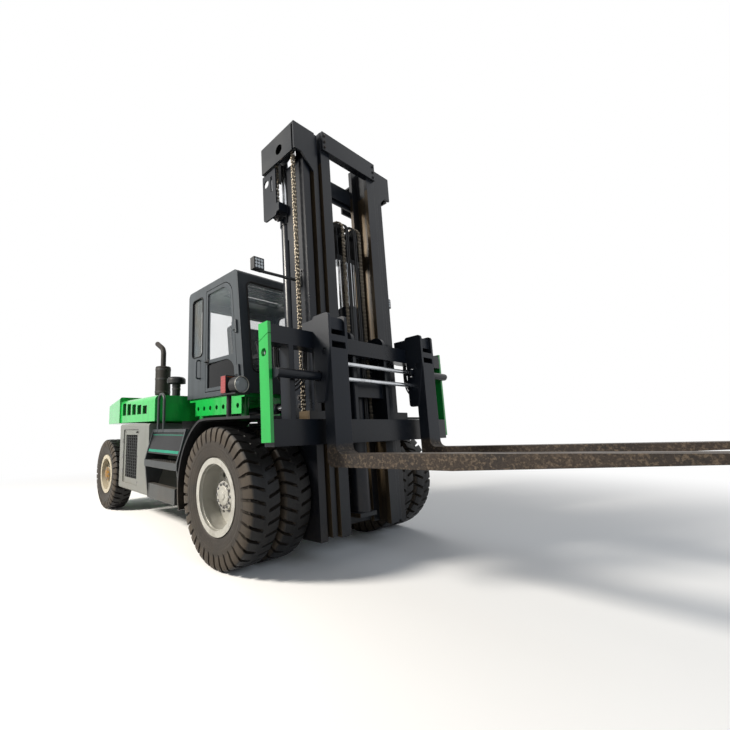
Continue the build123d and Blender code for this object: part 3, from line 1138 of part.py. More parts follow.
def outer_side():
    rail = rail_pair(OUTER_Y, OUTER_U, MAST_LOW_W, OUTER_TOP_W)
    bracket = ring(PIVOT_BRACKET_R, 0, PIVOT_BRACKET_Y, PIVOT_U, 0)
    bracket += block((PIVOT_U, OUTER_U + TIE_SINK), PIVOT_BRACKET_Y, (-PIVOT_BRACKET_R, PIVOT_BRACKET_R))
    bracket -= ring(PIVOT_PIN_R, 0, (PIVOT_BRACKET_Y[0] - OVERRUN, PIVOT_BRACKET_Y[1] + OVERRUN), PIVOT_U, 0)
    plate_y = (EAR_Y - EAR_T - SIDE_PLATE_T, EAR_Y - EAR_T)
    plate = block(SIDE_PLATE_U, plate_y, SIDE_PLATE_W)
    plate = fillet(plate.edges().filter_by(Axis.Y).group_by(Axis.Z)[0], HOOK_HOLE_R)
    across = (plate_y[0] - OVERRUN, plate_y[1] + OVERRUN)
    hole_w = SIDE_PLATE_W[0] + (SIDE_PLATE_W[1] - SIDE_PLATE_W[0]) * HOOK_HOLE_SHARE
    plate -= ring(HOOK_HOLE_R, 0, across, SIDE_PLATE_U[0] + HOOK_HOLE_INSET, hole_w)
    slot_u = SIDE_PLATE_U[0] + PLATE_SLOT_INSET
    plate -= block((slot_u, slot_u + PLATE_SLOT_W), across, (hole_w - PLATE_SLOT_DROP, hole_w + HOOK_HOLE_R))
    anchor = block(ANCHOR_U, (OUTER_Y[0], plate_y[1]), ANCHOR_W)
    anchor += block((ANCHOR_U[1] - OVERRUN, OUTER_U + OVERRUN),
                    (OUTER_Y[1] - RAIL_WEB_T, OUTER_Y[1]), ANCHOR_W)
    bore = rod_along("z", (LIFT_U, LIFT_Y, ANCHOR_W[0] - OVERRUN), ANCHOR_W[1] - ANCHOR_W[0] + 2 * OVERRUN,
                     LIFT_ROD_R + RUN_GAP)
    foot = block((LIFT_U - LIFT_R, OUTER_U + TIE_SINK), (LIFT_Y - LIFT_R, OUTER_Y[1]),
                 (LIFT_FOOT_W, LIFT_LOW_W - SEAT_GAP))
    body = rail + bracket + plate + anchor - bore + foot
    half = TILT_EYE_T / 2 + SEAT_GAP
    for low in (TILT_Y - half - TILT_LUG_T, TILT_Y + half):
        ys = (low, low + TILT_LUG_T)
        cheek = ring(TILT_EYE_R, 0, ys, TILT_EYE_U, TILT_EYE_W)
        cheek += block((TILT_EYE_U, OUTER_U), ys, (TILT_EYE_W - TILT_EYE_R, TILT_EYE_W + TILT_EYE_R))
        body += cheek - ring(TILT_PIN_R, 0, (ys[0] - OVERRUN, ys[1] + OVERRUN), TILT_EYE_U, TILT_EYE_W)
    return body


def lift_tube():
    """Left side lift cylinder tube, open at the top for its rod."""
    tube = rod_along("z", (LIFT_U, LIFT_Y, LIFT_LOW_W), LIFT_TOP_W - LIFT_LOW_W, LIFT_R)
    collar_w = LIFT_TOP_W - LIFT_COLLAR_H
    tube += rod_along("z", (LIFT_U, LIFT_Y, collar_w), LIFT_COLLAR_H, LIFT_COLLAR_R)
    bore_low = LIFT_LOW_W + LIFT_COLLAR_H
    tube -= rod_along("z", (LIFT_U, LIFT_Y, bore_low), LIFT_TOP_W - GLAND_L - bore_low, LIFT_BORE_R)
    bore_l = LIFT_TOP_W - bore_low + OVERRUN
    return tube - rod_along("z", (LIFT_U, LIFT_Y, bore_low), bore_l, LIFT_ROD_R + SEAT_GAP)


def lift_rod():
    """Left side lift cylinder rod, up to the plate in the ear."""
    low = LIFT_LOW_W + 2 * LIFT_COLLAR_H
    return rod_along("z", (LIFT_U, LIFT_Y, low), EAR_W[1] - EAR_T - low, LIFT_ROD_R)


def mast_middle():
    """Middle mast: rails, ties, rollers and the ears that hold the side sheaves."""
    body = ties(MIDDLE_Y[1], MIDDLE_U, MIDDLE_LOW_W, MIDDLE_TOP_W, MIDDLE_TIE_SHARES)
    for side in both(middle_side()):
        body += side
    return body


def middle_side():
    front = MIDDLE_U + RAIL_DEPTH
    rail = rail_pair(MIDDLE_Y, MIDDLE_U, MIDDLE_LOW_W, MIDDLE_TOP_W)
    channel = (MIDDLE_Y[1], OUTER_Y[1] - RAIL_WEB_T - ROLLER_SIDE_GAP)
    rail += rollers(channel, OUTER_U + RAIL_DEPTH / 2, (MIDDLE_LOW_W + ROLLER_R,))
    rear = front - EAR_DEPTH
    root = MIDDLE_Y[1] - RAIL_WEB_T
    face = make_face(Polyline((root, EAR_W[1]), (EAR_Y, EAR_W[1]), (EAR_Y, EAR_W[0]),
                              (MIDDLE_Y[1] + EAR_FILLET_R, EAR_W[0]), (MIDDLE_Y[1], EAR_W[0] - EAR_FILLET_R),
                              (root, EAR_W[0] - EAR_FILLET_R), close=True))
    plate = extrude(Plane.YZ.offset(front - EAR_T) * face, amount=EAR_T)
    ear = plate + block((rear, front - 2 * EAR_T), (EAR_Y - EAR_T, EAR_Y), EAR_W)
    ear += block((front - 3 * EAR_T, front), (EAR_Y - 2 * EAR_T, EAR_Y - EAR_T), EAR_W)
    ear += block((rear, front), (root, EAR_Y), (EAR_W[1] - EAR_T, EAR_W[1]))
    ear += block((rear, rear + EAR_T), (root, EAR_Y), EAR_W)
    ear += ring(SHEAVE_R, 0, (SHEAVE_Y - SHEAVE_T / 2, SHEAVE_Y + SHEAVE_T / 2), SHEAVE_U, SHEAVE_W)
    ear += ring(SHEAVE_PIN_R, 0, (root, EAR_Y), SHEAVE_U, SHEAVE_W)
    return rail + ear


def side_chain():
    """Left side chain: over its sheave, down the front to the inner mast and back to the anchor."""
    ys = (SHEAVE_Y - CHAIN_W / 2, SHEAVE_Y + CHAIN_W / 2)
    inner_r = SHEAVE_R + SEAT_GAP
    outer_r = inner_r + CHAIN_T
    wrap = ring(outer_r, inner_r, ys, SHEAVE_U, SHEAVE_W)
    wrap -= block((SHEAVE_U - 2 * outer_r, SHEAVE_U + 2 * outer_r), (ys[0] - OVERRUN, ys[1] + OVERRUN),
                  (SHEAVE_W - 2 * outer_r, SHEAVE_W))
    wrap += block((SHEAVE_U + inner_r, SHEAVE_U + outer_r), ys, (SIDE_CHAIN_FRONT_W, SHEAVE_W))
    wrap += block((SHEAVE_U - outer_r, SHEAVE_U - inner_r), ys, (ANCHOR_W[1] + SEAT_GAP, SHEAVE_W))
    return wrap


def mast_inner():
    """Inner mast: rails, ties, rollers, crosshead and the wings that take the side chains."""
    body = ties(INNER_Y[1], INNER_U, INNER_LOW_W, INNER_TOP_W, INNER_TIE_SHARES)
    front = INNER_U + RAIL_DEPTH
    body += block((front - RAIL_FLANGE_T, front + CROSSHEAD_T), (-CROSSHEAD_Y, CROSSHEAD_Y), CROSSHEAD_W)
    foot = (CENTRE_LOW_W - RAIL_FLANGE_T, CENTRE_LOW_W - SEAT_GAP)
    foot_y = CENTRE_R + RAIL_FLANGE_T / 2
    body += block((INNER_U, CENTRE_U + CENTRE_R), (-foot_y, foot_y), foot)
    for side in both(inner_side()):
        body += side
    return body


def inner_side():
    front = INNER_U + RAIL_DEPTH
    rail = rail_pair(INNER_Y, INNER_U, INNER_LOW_W, INNER_TOP_W)
    channel = (INNER_Y[1], MIDDLE_Y[1] - RAIL_WEB_T - ROLLER_SIDE_GAP)
    rail += rollers(channel, MIDDLE_U + RAIL_DEPTH / 2, (INNER_LOW_W + ROLLER_R,))
    chain_half = CHAIN_W / 2 + RUN_GAP
    inner_plate = (SHEAVE_Y - chain_half - WING_T, SHEAVE_Y - chain_half)
    outer_plate = (SHEAVE_Y + chain_half, SHEAVE_Y + chain_half + WING_T)
    chain_u = SHEAVE_U + SHEAVE_R
    wing = block((WING_U - WING_T, WING_U), (INNER_Y[1] - RAIL_WEB_T, outer_plate[1]), WING_W)
    for ys in (inner_plate, outer_plate):
        wing += block((chain_u, WING_U), ys, WING_W)
    return rail + wing


def free_lift_tube():
    """Centre lift cylinder tube with its gland."""
    tube = rod_along("z", (CENTRE_U, 0, CENTRE_LOW_W), CENTRE_TOP_W - CENTRE_LOW_W, CENTRE_R)
    bore_low = CENTRE_LOW_W + CENTRE_R
    tube -= rod_along("z", (CENTRE_U, 0, bore_low), CENTRE_TOP_W - GLAND_L - bore_low, CENTRE_BORE_R)
    bore_l = CENTRE_TOP_W - bore_low + OVERRUN
    return tube - rod_along("z", (CENTRE_U, 0, bore_low), bore_l, CENTRE_ROD_R + SEAT_GAP)


def free_lift_rod():
    """Chrome rod with the head that carries the two centre sheaves."""
    rod = rod_along("z", (CENTRE_U, 0, CENTRE_ROD_LOW_W), CENTRE_ROD_TOP_W - CENTRE_ROD_LOW_W, CENTRE_ROD_R)
    head = block((CENTRE_U - HEAD_U, CENTRE_U + HEAD_U), (-HEAD_Y, HEAD_Y), (HEAD_W[0], HEAD_W[0] + HEAD_U))
    for side in (-1, 1):
        half = HEAD_SHEAVE_T / 2 + RUN_GAP
        for y in (HEAD_SHEAVE_Y - half - HEAD_EAR_T, HEAD_SHEAVE_Y + half):
            ys = sorted((side * y, side * (y + HEAD_EAR_T)))
            head += block((CENTRE_U - HEAD_U, CENTRE_U + HEAD_U), ys, (HEAD_W[0], HEAD_SHEAVE_W + HEAD_U / 2))
        ys = sorted((side * (HEAD_SHEAVE_Y - HEAD_SHEAVE_T / 2), side * (HEAD_SHEAVE_Y + HEAD_SHEAVE_T / 2)))
        head += ring(HEAD_SHEAVE_R, 0, ys, CENTRE_U, HEAD_SHEAVE_W)
    head += ring(SHEAVE_PIN_R, 0, (-HEAD_Y, HEAD_Y), CENTRE_U, HEAD_SHEAVE_W)
    return rod + head


def centre_chain():
    """Left centre chain over the head's sheave."""
    ys = (HEAD_SHEAVE_Y - CENTRE_CHAIN_W / 2, HEAD_SHEAVE_Y + CENTRE_CHAIN_W / 2)
    inner_r = HEAD_SHEAVE_R + SEAT_GAP
    outer_r = inner_r + CHAIN_T
    wrap = ring(outer_r, inner_r, ys, CENTRE_U, HEAD_SHEAVE_W)
    wrap -= block((CENTRE_U - 2 * outer_r, CENTRE_U + 2 * outer_r), (ys[0] - OVERRUN, ys[1] + OVERRUN),
                  (HEAD_SHEAVE_W - 2 * outer_r, HEAD_SHEAVE_W))
    wrap += block((CENTRE_U + inner_r, CENTRE_U + outer_r), ys, (CENTRE_CHAIN_FRONT_W, HEAD_SHEAVE_W))
    wrap += block((CENTRE_U - outer_r, CENTRE_U - inner_r), ys, (CENTRE_CHAIN_REAR_W, HEAD_SHEAVE_W))
    return wrap


# Tilt cylinders, in the truck's frame
def tilt_line():
    """Rear pin, rod eye and the direction between them at rest."""
    eye_x = PIVOT_X + TILT_EYE_U * cos(TILT) - TILT_EYE_W * sin(TILT)
    eye_z = PIVOT_Z + TILT_EYE_U * sin(TILT) + TILT_EYE_W * cos(TILT)
    length = hypot(eye_x - TILT_REAR_X, eye_z - TILT_REAR_Z)
    way = ((eye_x - TILT_REAR_X) / length, (eye_z - TILT_REAR_Z) / length)
    return (eye_x, eye_z), way, length


def along_tilt(distance):
    """Point on the left tilt cylinder's line, from its rear pin."""
    way = tilt_line()[1]
    return (TILT_REAR_X + distance * way[0], TILT_Y, TILT_REAR_Z + distance * way[1])


def tilt_eye(centre):
    ys = (TILT_Y - TILT_EYE_T / 2, TILT_Y + TILT_EYE_T / 2)
    return ring(TILT_EYE_R, 0, ys, *centre), ring(TILT_PIN_R, 0, (ys[0] - OVERRUN, ys[1] + OVERRUN), *centre)


def tilt_tube():
    """Left tilt cylinder tube with its rear eye."""
    eye, hole = tilt_eye((TILT_REAR_X, TILT_REAR_Z))
    tube = rod_between(along_tilt(TILT_EYE_R * 2), along_tilt(TILT_TUBE_L), TILT_TUBE_R)
    neck = rod_between(along_tilt(0), along_tilt(TILT_EYE_R * 2), TILT_EYE_T / 2)
    bore = rod_between(along_tilt(TILT_TUBE_SOLID_L), along_tilt(TILT_TUBE_L - GLAND_L), TILT_BORE_R)
    bore += rod_between(along_tilt(TILT_TUBE_SOLID_L), along_tilt(TILT_TUBE_L + OVERRUN), TILT_ROD_R + SEAT_GAP)
    return tube + neck + eye - hole - bore


def tilt_rod():
    """Left tilt cylinder rod with the eye that meets the mast."""
    (eye_x, eye_z), way, length = tilt_line()
    eye, hole = tilt_eye((eye_x, eye_z))
    rod = rod_between(along_tilt(length - TILT_ROD_L), along_tilt(length - TILT_EYE_R / 2), TILT_ROD_R)
    return rod + eye - hole


def tilt_mount():
    """Left bracket on the chassis that holds the tilt cylinder's rear pin."""
    inner = (TILT_Y - TILT_EYE_T / 2 - SEAT_GAP - TILT_LUG_T, TILT_Y - TILT_EYE_T / 2 - SEAT_GAP)
    outer = (TILT_Y + TILT_EYE_T / 2 + SEAT_GAP, TILT_Y + TILT_EYE_T / 2 + SEAT_GAP + TILT_LUG_T)
    bracket = None
    for ys in (inner, outer):
        lug = ring(TILT_EYE_R, 0, ys, TILT_REAR_X, TILT_REAR_Z)
        low = FRAME_HIGH_Z - TILT_EYE_R
        lug += block((TILT_REAR_X - TILT_EYE_R, TILT_REAR_X + TILT_EYE_R), ys, (low, TILT_REAR_Z))
        bracket = lug if bracket is None else bracket + lug
    bracket += block((TILT_REAR_X - TILT_EYE_R, TILT_REAR_X + TILT_EYE_R), (inner[0], FRAME_Y - FRAME_T / 2),
                     (FRAME_HIGH_Z - TILT_EYE_R, FRAME_HIGH_Z))
    bracket += ring(TILT_PIN_R - SEAT_GAP, 0, (inner[0], outer[1]), TILT_REAR_X, TILT_REAR_Z)
    return bracket


# Carriage and forks
def carriage_frame():
    """Two cross bars, end posts and the roller plates that run inside the inner mast."""
    bars = block(CAR_U, (-CAR_Y, CAR_Y), CAR_TOP_W) + block(CAR_U, (-CAR_Y, CAR_Y), CAR_LOW_W)
    plate = side_profile(FilletPolyline(
        (ROLLER_PLATE_U[0], ROLLER_PLATE_W[0]), (CAR_U[1] - OVERRUN, ROLLER_PLATE_W[0]),
        (CAR_U[1] - OVERRUN, ROLLER_PLATE_W[1]), (ROLLER_PLATE_U[0], ROLLER_PLATE_W[1]),
        radius=ROLLER_PLATE_R, close=True), ROLLER_PLATE_Y)
    channel = (ROLLER_PLATE_Y[1], INNER_Y[1] - RAIL_WEB_T - ROLLER_SIDE_GAP)
    plate += rollers(channel, INNER_U + RAIL_DEPTH / 2, CAR_ROLLER_W)
    plate += block(CAR_U, CAR_POST_Y, (CAR_LOW_W[0], CAR_TOP_W[1]))
    for side in both(plate):
        bars += side
    bars += block(CHAIN_PLATE_U, (-ROLLER_PLATE_Y[1], ROLLER_PLATE_Y[1]), CHAIN_PLATE_W)
    return bars


def end_plate():
    """Left end plate of the carriage, with its pin hole."""
    ys = (CAR_Y, CAR_Y + END_T)
    plate = block(CAR_U, ys, END_W)
    half = END_GAP_T / 2
    joint = Polyline((CAR_U[0], END_GAP_W[0] - half), (CAR_U[1], END_GAP_W[1] - half),
                     (CAR_U[1], END_GAP_W[1] + half), (CAR_U[0], END_GAP_W[0] + half), close=True)
    plate -= side_profile(joint, (ys[0] - OVERRUN, ys[1] + OVERRUN))
    middle = (CAR_U[0] + CAR_U[1]) / 2
    return plate - ring(END_HOLE_R, 0, (ys[0] - OVERRUN, ys[1] + OVERRUN), middle, END_HOLE_W)


def fork(pass_w):
    """Left fork on its bracket; pass_w is the height where the other fork's rod passes through."""
    ys = (FORK_Y - FORK_W / 2, FORK_Y + FORK_W / 2)
    back = FORK_FACE_U - FORK_T
    tip = FORK_FACE_U + FORK_L
    top = FORK_LOW_W + FORK_T
    outline = Polyline((back, FORK_LOW_W), (tip - FORK_TAPER_L, FORK_LOW_W),
                       (tip, top - FORK_TIP_T), (tip, top),
                       (FORK_FACE_U, top), (FORK_FACE_U, FORK_TOP_W), (back, FORK_TOP_W), close=True)
    body = side_profile(outline, ys)
    body = fillet(body.edges().filter_by(Axis.Z, tolerance=REST_TILT).group_by(Axis.X)[-1], FORK_TIP_R)
    across = body.edges().filter_by(Axis.Y)
    body = fillet(across.sort_by_distance((FORK_FACE_U, FORK_Y, top))[0], FORK_HEEL_R)
    across = body.edges().filter_by(Axis.Y)
    body = chamfer(across.sort_by_distance((back, FORK_Y, FORK_LOW_W))[0], FORK_HEEL_BEVEL)
    bar_face = CAR_U[1] + SEAT_GAP
    half = BRACKET_OUT / 2
    for side in (-1, 1):
        plate_ys = sorted((FORK_Y + side * half, FORK_Y + side * (half - BRACKET_T)))
        shape = FilletPolyline((bar_face, BRACKET_LOW_W), (bar_face + FORK_T, BRACKET_LOW_W),
                               (FORK_FACE_U, FORK_TOP_W), (FORK_FACE_U, BRACKET_TOP_W),
                               (bar_face, BRACKET_TOP_W), radius=BRACKET_TOP_R / 2, close=True)
        plate = side_profile(shape, plate_ys)
        across = (plate_ys[0] - OVERRUN, plate_ys[1] + OVERRUN)
        plate -= ring(BRACKET_HOLE_R, 0, across, FORK_FACE_U - 2 * BRACKET_HOLE_R, BRACKET_HOLE_W)
        plate -= ring(PASS_R, 0, across, SHAFT_U, pass_w)
        body += plate
    inner = (FORK_Y - half, FORK_Y + half)
    hook_u = (CAR_U[0] - SEAT_GAP - HOOK_T, CAR_U[0] - SEAT_GAP)
    beam = block((hook_u[0], FORK_FACE_U - BRACKET_T), inner, (CAR_TOP_W[1] + SEAT_GAP, BRACKET_BEAM_W[1]))
    beam += block(hook_u, inner, (CAR_TOP_W[0], BRACKET_BEAM_W[1]))
    body += beam
    body += block((FORK_FACE_U - BRACKET_T, FORK_FACE_U), inner, BRACKET_FRONT_W)
    return body


def positioner(side, w):
    """Tube on one side of the carriage, and the rod that runs from it across to the other fork."""
    end = CAR_Y
    ys = sorted((side * TUBE_IN_Y, side * end))
    tube = ring(TUBE_R, TUBE_BORE_R, ys, SHAFT_U, w)
    cap = sorted((side * (end - TUBE_MOUNT_T), side * end))
    tube += ring(TUBE_R, 0, cap, SHAFT_U, w)
    tube += block((CAR_U[1] + SEAT_GAP, SHAFT_U), cap, (w - TUBE_R, w + TUBE_R))
    far = -side * (FORK_Y - BRACKET_OUT / 2)
    near = side * (TUBE_IN_Y + ROD_HIDDEN_L)
    rod = ring(ROD_R, 0, sorted((near, far)), SHAFT_U, w)
    return tube, rod


def work_lamp():
    """Left work lamp on the bent arm from the outer mast."""
    start = (ARM_ROOT_U, OUTER_Y[1], ARM_ROOT_W)
    end = (WORK_U, WORK_Y, WORK_W - WORK_SIZE / 2)
    arm = rod_between(start, end, ARM_R)
    half = ARM_PLATE_L / 2
    plate = block((ARM_ROOT_U - half / 2, ARM_ROOT_U + half / 2),
                  (OUTER_Y[1] + SEAT_GAP, OUTER_Y[1] + ARM_PLATE_T),
                  (ARM_ROOT_W - half, ARM_ROOT_W + half))
    half = WORK_SIZE / 2
    lamp = block((WORK_U - WORK_DEPTH / 2, WORK_U + WORK_DEPTH / 2), (WORK_Y - half, WORK_Y + half),
                 (WORK_W - half, WORK_W + half))
    arm -= block((ARM_ROOT_U - half, ARM_ROOT_U + half), (OUTER_Y[0], OUTER_Y[1] + SEAT_GAP),
                 (ARM_ROOT_W - half, ARM_ROOT_W + half))
    return lamp + arm + plate


def save(name, shapes):
    """Writes the solids of one node to its STEP file."""
    solids = []
    for shape in shapes:
        solids.extend(shape.solids())
    placed = [Pos(-CENTRE_X, 0, 0) * solid for solid in solids]
    whole = placed[0] if len(placed) == 1 else Compound(placed)
    export_step(whole, f"parts/{name}.step")


def build():
    frame = chassis_frame()
    for side in both(tilt_mount()):
        frame += side
    tyres, drive_rim = drive_wheel()
    steer_tyre, steer_rim = steer_wheel()
    left_door, left_panes = door()
    low_tube, low_rod = positioner(-1, SHAFT_LOW_W)
    high_tube, high_rod = positioner(1, SHAFT_HIGH_W)

    def other(shape):
        return mirror(shape, about=Plane.XZ)

    nodes = {
        "chassis_frame": [frame],
        "drive_axle": [drive_axle()],
        "steer_axle": [steer_axle()],
        "counterweight": [counterweight()],
        "engine_block": [engine_block()],
        "engine_shroud": [engine_shroud()],
        "engine_hood": [engine_hood()],
        "side_tanks": both(side_tank()),
        "fenders": both(fender()),
        "steps": both(steps()),
        "cab_frame": [cab_frame()],
        "cab_glass": cab_glass(),
        "cab_floor": [cab_floor()],
        "operator_seat": [operator_seat()],
        "steering_console": [steering_console()],
        "exhaust_stack": [exhaust_stack()],
        "air_intake": [air_intake()],
        "headlamps": both(headlamp()),
        "door_left": [left_door],
        "door_right": [other(left_door)],
        "door_glass_left": left_panes,
        "door_glass_right": [other(pane) for pane in left_panes],
        "drive_tyres_left": tyres,
        "drive_tyres_right": [other(item) for item in tyres],
        "drive_rims_left": [drive_rim],
        "drive_rims_right": [other(drive_rim)],
        "knuckle_left": [knuckle()],
        "knuckle_right": [other(knuckle())],
        "steer_tyre_left": [steer_tyre],
        "steer_tyre_right": [other(steer_tyre)],
        "steer_rim_left": [steer_rim],
        "steer_rim_right": [other(steer_rim)],
        "mast_outer": [lean(mast_outer())],
        "lift_cylinder_tubes": [lean(item) for item in both(lift_tube())],
        "lift_cylinder_rods": [lean(item) for item in both(lift_rod())],
        "work_lamps": [lean(item) for item in both(work_lamp())],
        "mast_middle": [lean(mast_middle())],
        "side_chains": [lean(item) for item in both(side_chain())],
        "mast_inner": [lean(mast_inner())],
        "free_lift_tube": [lean(free_lift_tube())],
        "free_lift_rod": [lean(free_lift_rod())],
        "centre_chains": [lean(item) for item in both(centre_chain())],
        "tilt_tubes": both(tilt_tube()),
        "tilt_rods": both(tilt_rod()),
        "carriage_frame": [lean(carriage_frame())],
        "carriage_end_plates": [lean(item) for item in both(end_plate())],
        "positioner_tubes": [lean(low_tube), lean(high_tube)],
        "positioner_rod_left": [lean(low_rod)],
        "positioner_rod_right": [lean(high_rod)],
        "fork_left": [lean(fork(SHAFT_HIGH_W))],
        "fork_right": [lean(other(fork(SHAFT_LOW_W)))],
    }
    os.makedirs("parts", exist_ok=True)
    for name, shapes in nodes.items():
        save(name, shapes)


build()
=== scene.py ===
"""Finish, small pieces, stage and camera of a heavy diesel forklift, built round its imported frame."""
import json
import math

import bmesh
import bpy
from mathutils import Matrix, Vector


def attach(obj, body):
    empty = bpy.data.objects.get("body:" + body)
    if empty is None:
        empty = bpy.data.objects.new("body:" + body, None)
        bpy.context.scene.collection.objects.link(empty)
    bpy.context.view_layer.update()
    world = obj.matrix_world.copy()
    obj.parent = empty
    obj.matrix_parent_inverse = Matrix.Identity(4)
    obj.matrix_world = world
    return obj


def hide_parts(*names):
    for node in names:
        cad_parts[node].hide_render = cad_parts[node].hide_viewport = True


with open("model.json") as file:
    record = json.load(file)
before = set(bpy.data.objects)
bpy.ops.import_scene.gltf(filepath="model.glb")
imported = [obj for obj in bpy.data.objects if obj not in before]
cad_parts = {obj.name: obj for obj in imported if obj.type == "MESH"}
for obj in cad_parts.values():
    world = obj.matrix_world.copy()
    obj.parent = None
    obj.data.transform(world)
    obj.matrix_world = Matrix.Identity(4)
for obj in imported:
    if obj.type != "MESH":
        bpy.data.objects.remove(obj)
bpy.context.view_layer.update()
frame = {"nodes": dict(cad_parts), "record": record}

bl_info = {
    "name": "Heavy Forklift Dressing",
    "version": (1, 0, 0),
    "blender": (4, 5, 0),
    "location": "View3D > Sidebar > Forklift",
    "description": "Dresses a heavy diesel forklift: paint, tyres, chains, bolts, lamps and stage",
    "category": "Object",
}

# Places of the truck in the row frame, in metres
ORIGIN_SHIFT = 0.353282
MAST_PIVOT = (0.380 + ORIGIN_SHIFT, 0.0, 0.552)
MAST_LEAN = math.radians(2.4)
MAST_FRAME = Matrix.Translation(MAST_PIVOT) @ Matrix.Rotation(-MAST_LEAN, 4, "Y")
SIDES = {"left": 1, "right": -1}
MAST_W = MAST_FRAME.to_3x3() @ Vector((0, 0, 1))


def truck(x, y, z):
    """Point of the row frame for a place measured from above the drive axle's middle."""
    return Vector((x + ORIGIN_SHIFT, y, z))


def srgb(red, green, blue):
    """Linear colour of a colour written from 0 to 255."""
    def linear(value):
        share = value / 255
        return share / 12.92 if share <= 0.04045 else ((share + 0.055) / 1.055) ** 2.4
    return (linear(red), linear(green), linear(blue), 1.0)


GREEN = srgb(24, 168, 70)
MAST_BLUE = srgb(18, 23, 31)
CAB_GREY = srgb(62, 68, 73)
TANK_GREY = srgb(116, 119, 116)
FRAME_BLACK = srgb(26, 27, 29)
AXLE_DARK = srgb(46, 43, 40)
FORK_BROWN = srgb(58, 50, 44)
RUBBER = srgb(25, 23, 21)
STEP_GREY = srgb(58, 63, 66)
RIM_SILVER = srgb(176, 175, 168)
RIM_CREAM = srgb(184, 176, 156)
DUST = srgb(132, 116, 96)
STEEL = srgb(150, 150, 150)
CHROME = srgb(205, 208, 212)
CHAIN_DARK = srgb(158, 148, 132)
GREASE = srgb(58, 44, 30)
GOLD = srgb(156, 118, 60)
TEAL = srgb(20, 128, 104)
VINYL = srgb(34, 34, 36)
GRIME = srgb(20, 18, 16)
DRY_DIRT = srgb(84, 84, 80)

# Tyres, in metres: radius, width, radii of the bead and of the rim's flange, outer wall from the middle
DRIVE_R, DRIVE_W, DRIVE_BEAD, DRIVE_FLANGE, DRIVE_OUT = 0.620, 0.310, 0.305, 0.342, 1.276
STEER_R, STEER_W, STEER_BEAD, STEER_FLANGE, STEER_OUT = 0.536, 0.280, 0.254, 0.295, 1.187
TWIN_STEP, WHEELBASE = 0.340, 3.600
DRIVE_HUB = (ORIGIN_SHIFT, DRIVE_R)
STEER_HUB = (ORIGIN_SHIFT - WHEELBASE, STEER_R)
DRIVE_GROOVE, STEER_GROOVE = 0.052, 0.042
LUGS = 36
# Heights up the mast: where the forks' paint begins, the top of the rails' greasy streaks and painted warm
# reflection, the foot of the lift rod's head
BLADE_PAINT_W, GREASE_AND_SHEEN_TOP_W, HEAD_LOW_W = 0.500, 3.30, 2.362
# Top of the doors' dark lower pane, then the recess of the tank's mesh panel
DOOR_RAIL_Z = 2.035
MESH_X = (ORIGIN_SHIFT - 2.790, ORIGIN_SHIFT - 2.330)
MESH_Z = (0.560, 1.150)
MESH_DEEP_Y = 1.115
# Sheaves of the side chains and drum of the lift head: u, w, radius, distance of the chain from the middle
SHEAVE_U, SHEAVE_W, SHEAVE_R, SHEAVE_Y = 0.095, 3.455, 0.120, 0.682
HEAD_U, HEAD_W, HEAD_R, HEAD_Y = 0.225, 2.700, 0.093, 0.130
CHAIN_T = 0.024

# Relief of the surfaces, in metres, and angle from which an edge stays sharp
ENAMEL_DEPTH, METAL_DEPTH, PLATE_EDGE = 0.0006, 0.0003, 0.005
SHARP_EDGE = math.radians(35)

# Stage: light of the world, floor as it is seen and as it throws light back, where it fades to white
WORLD_LIGHT = 0.25
FLOOR_SEEN, FLOOR_RETURNED = 0.95, 0.36
FADE_AT, FADE_WIDTH = 6.5, 7.0
LOOK_AT = (0.0, 0.0, 1.6)
# Picture: its side, and how far its middle is off the lens axis, in pixels
PICTURE, CROP = 730, (70.5, 14.0)


class Value:
    """An output that runs through a shader; Python operators on a number add Math nodes."""

    def __init__(self, shader, socket):
        self.shader = shader
        self.socket = socket

    def math(self, operation, *others):
        """Adds a Math node that works on this number and the others."""
        parts = [self, *others]
        return self.shader.node("ShaderNodeMath", {"operation": operation}, dict(enumerate(parts))).out()

    def __add__(self, other):
        return self.math("ADD", other)

    def __sub__(self, other):
        return self.math("SUBTRACT", other)

    def __rsub__(self, other):
        return self.shader.node("ShaderNodeMath", {"operation": "SUBTRACT"}, {0: other, 1: self}).out()

    def __mul__(self, other):
        return self.math("MULTIPLY", other)

    def __pow__(self, other):
        return self.math("POWER", other)

    __radd__ = __add__
    __rmul__ = __mul__

    def above(self, edge, width):
        """0 below the edge, 1 past it, with a smooth step as wide as said."""
        settings = {"interpolation_type": "SMOOTHSTEP"}
        inputs = {"Value": self, "From Min": edge - width / 2, "From Max": edge + width / 2}
        return self.shader.node("ShaderNodeMapRange", settings, inputs).out()


class Placed:
    """A node that was added, with its outputs by name or order."""

    def __init__(self, shader, node):
        self.shader = shader
        self.node = node

    def out(self, name=0):
        return Value(self.shader, self.node.outputs[name])


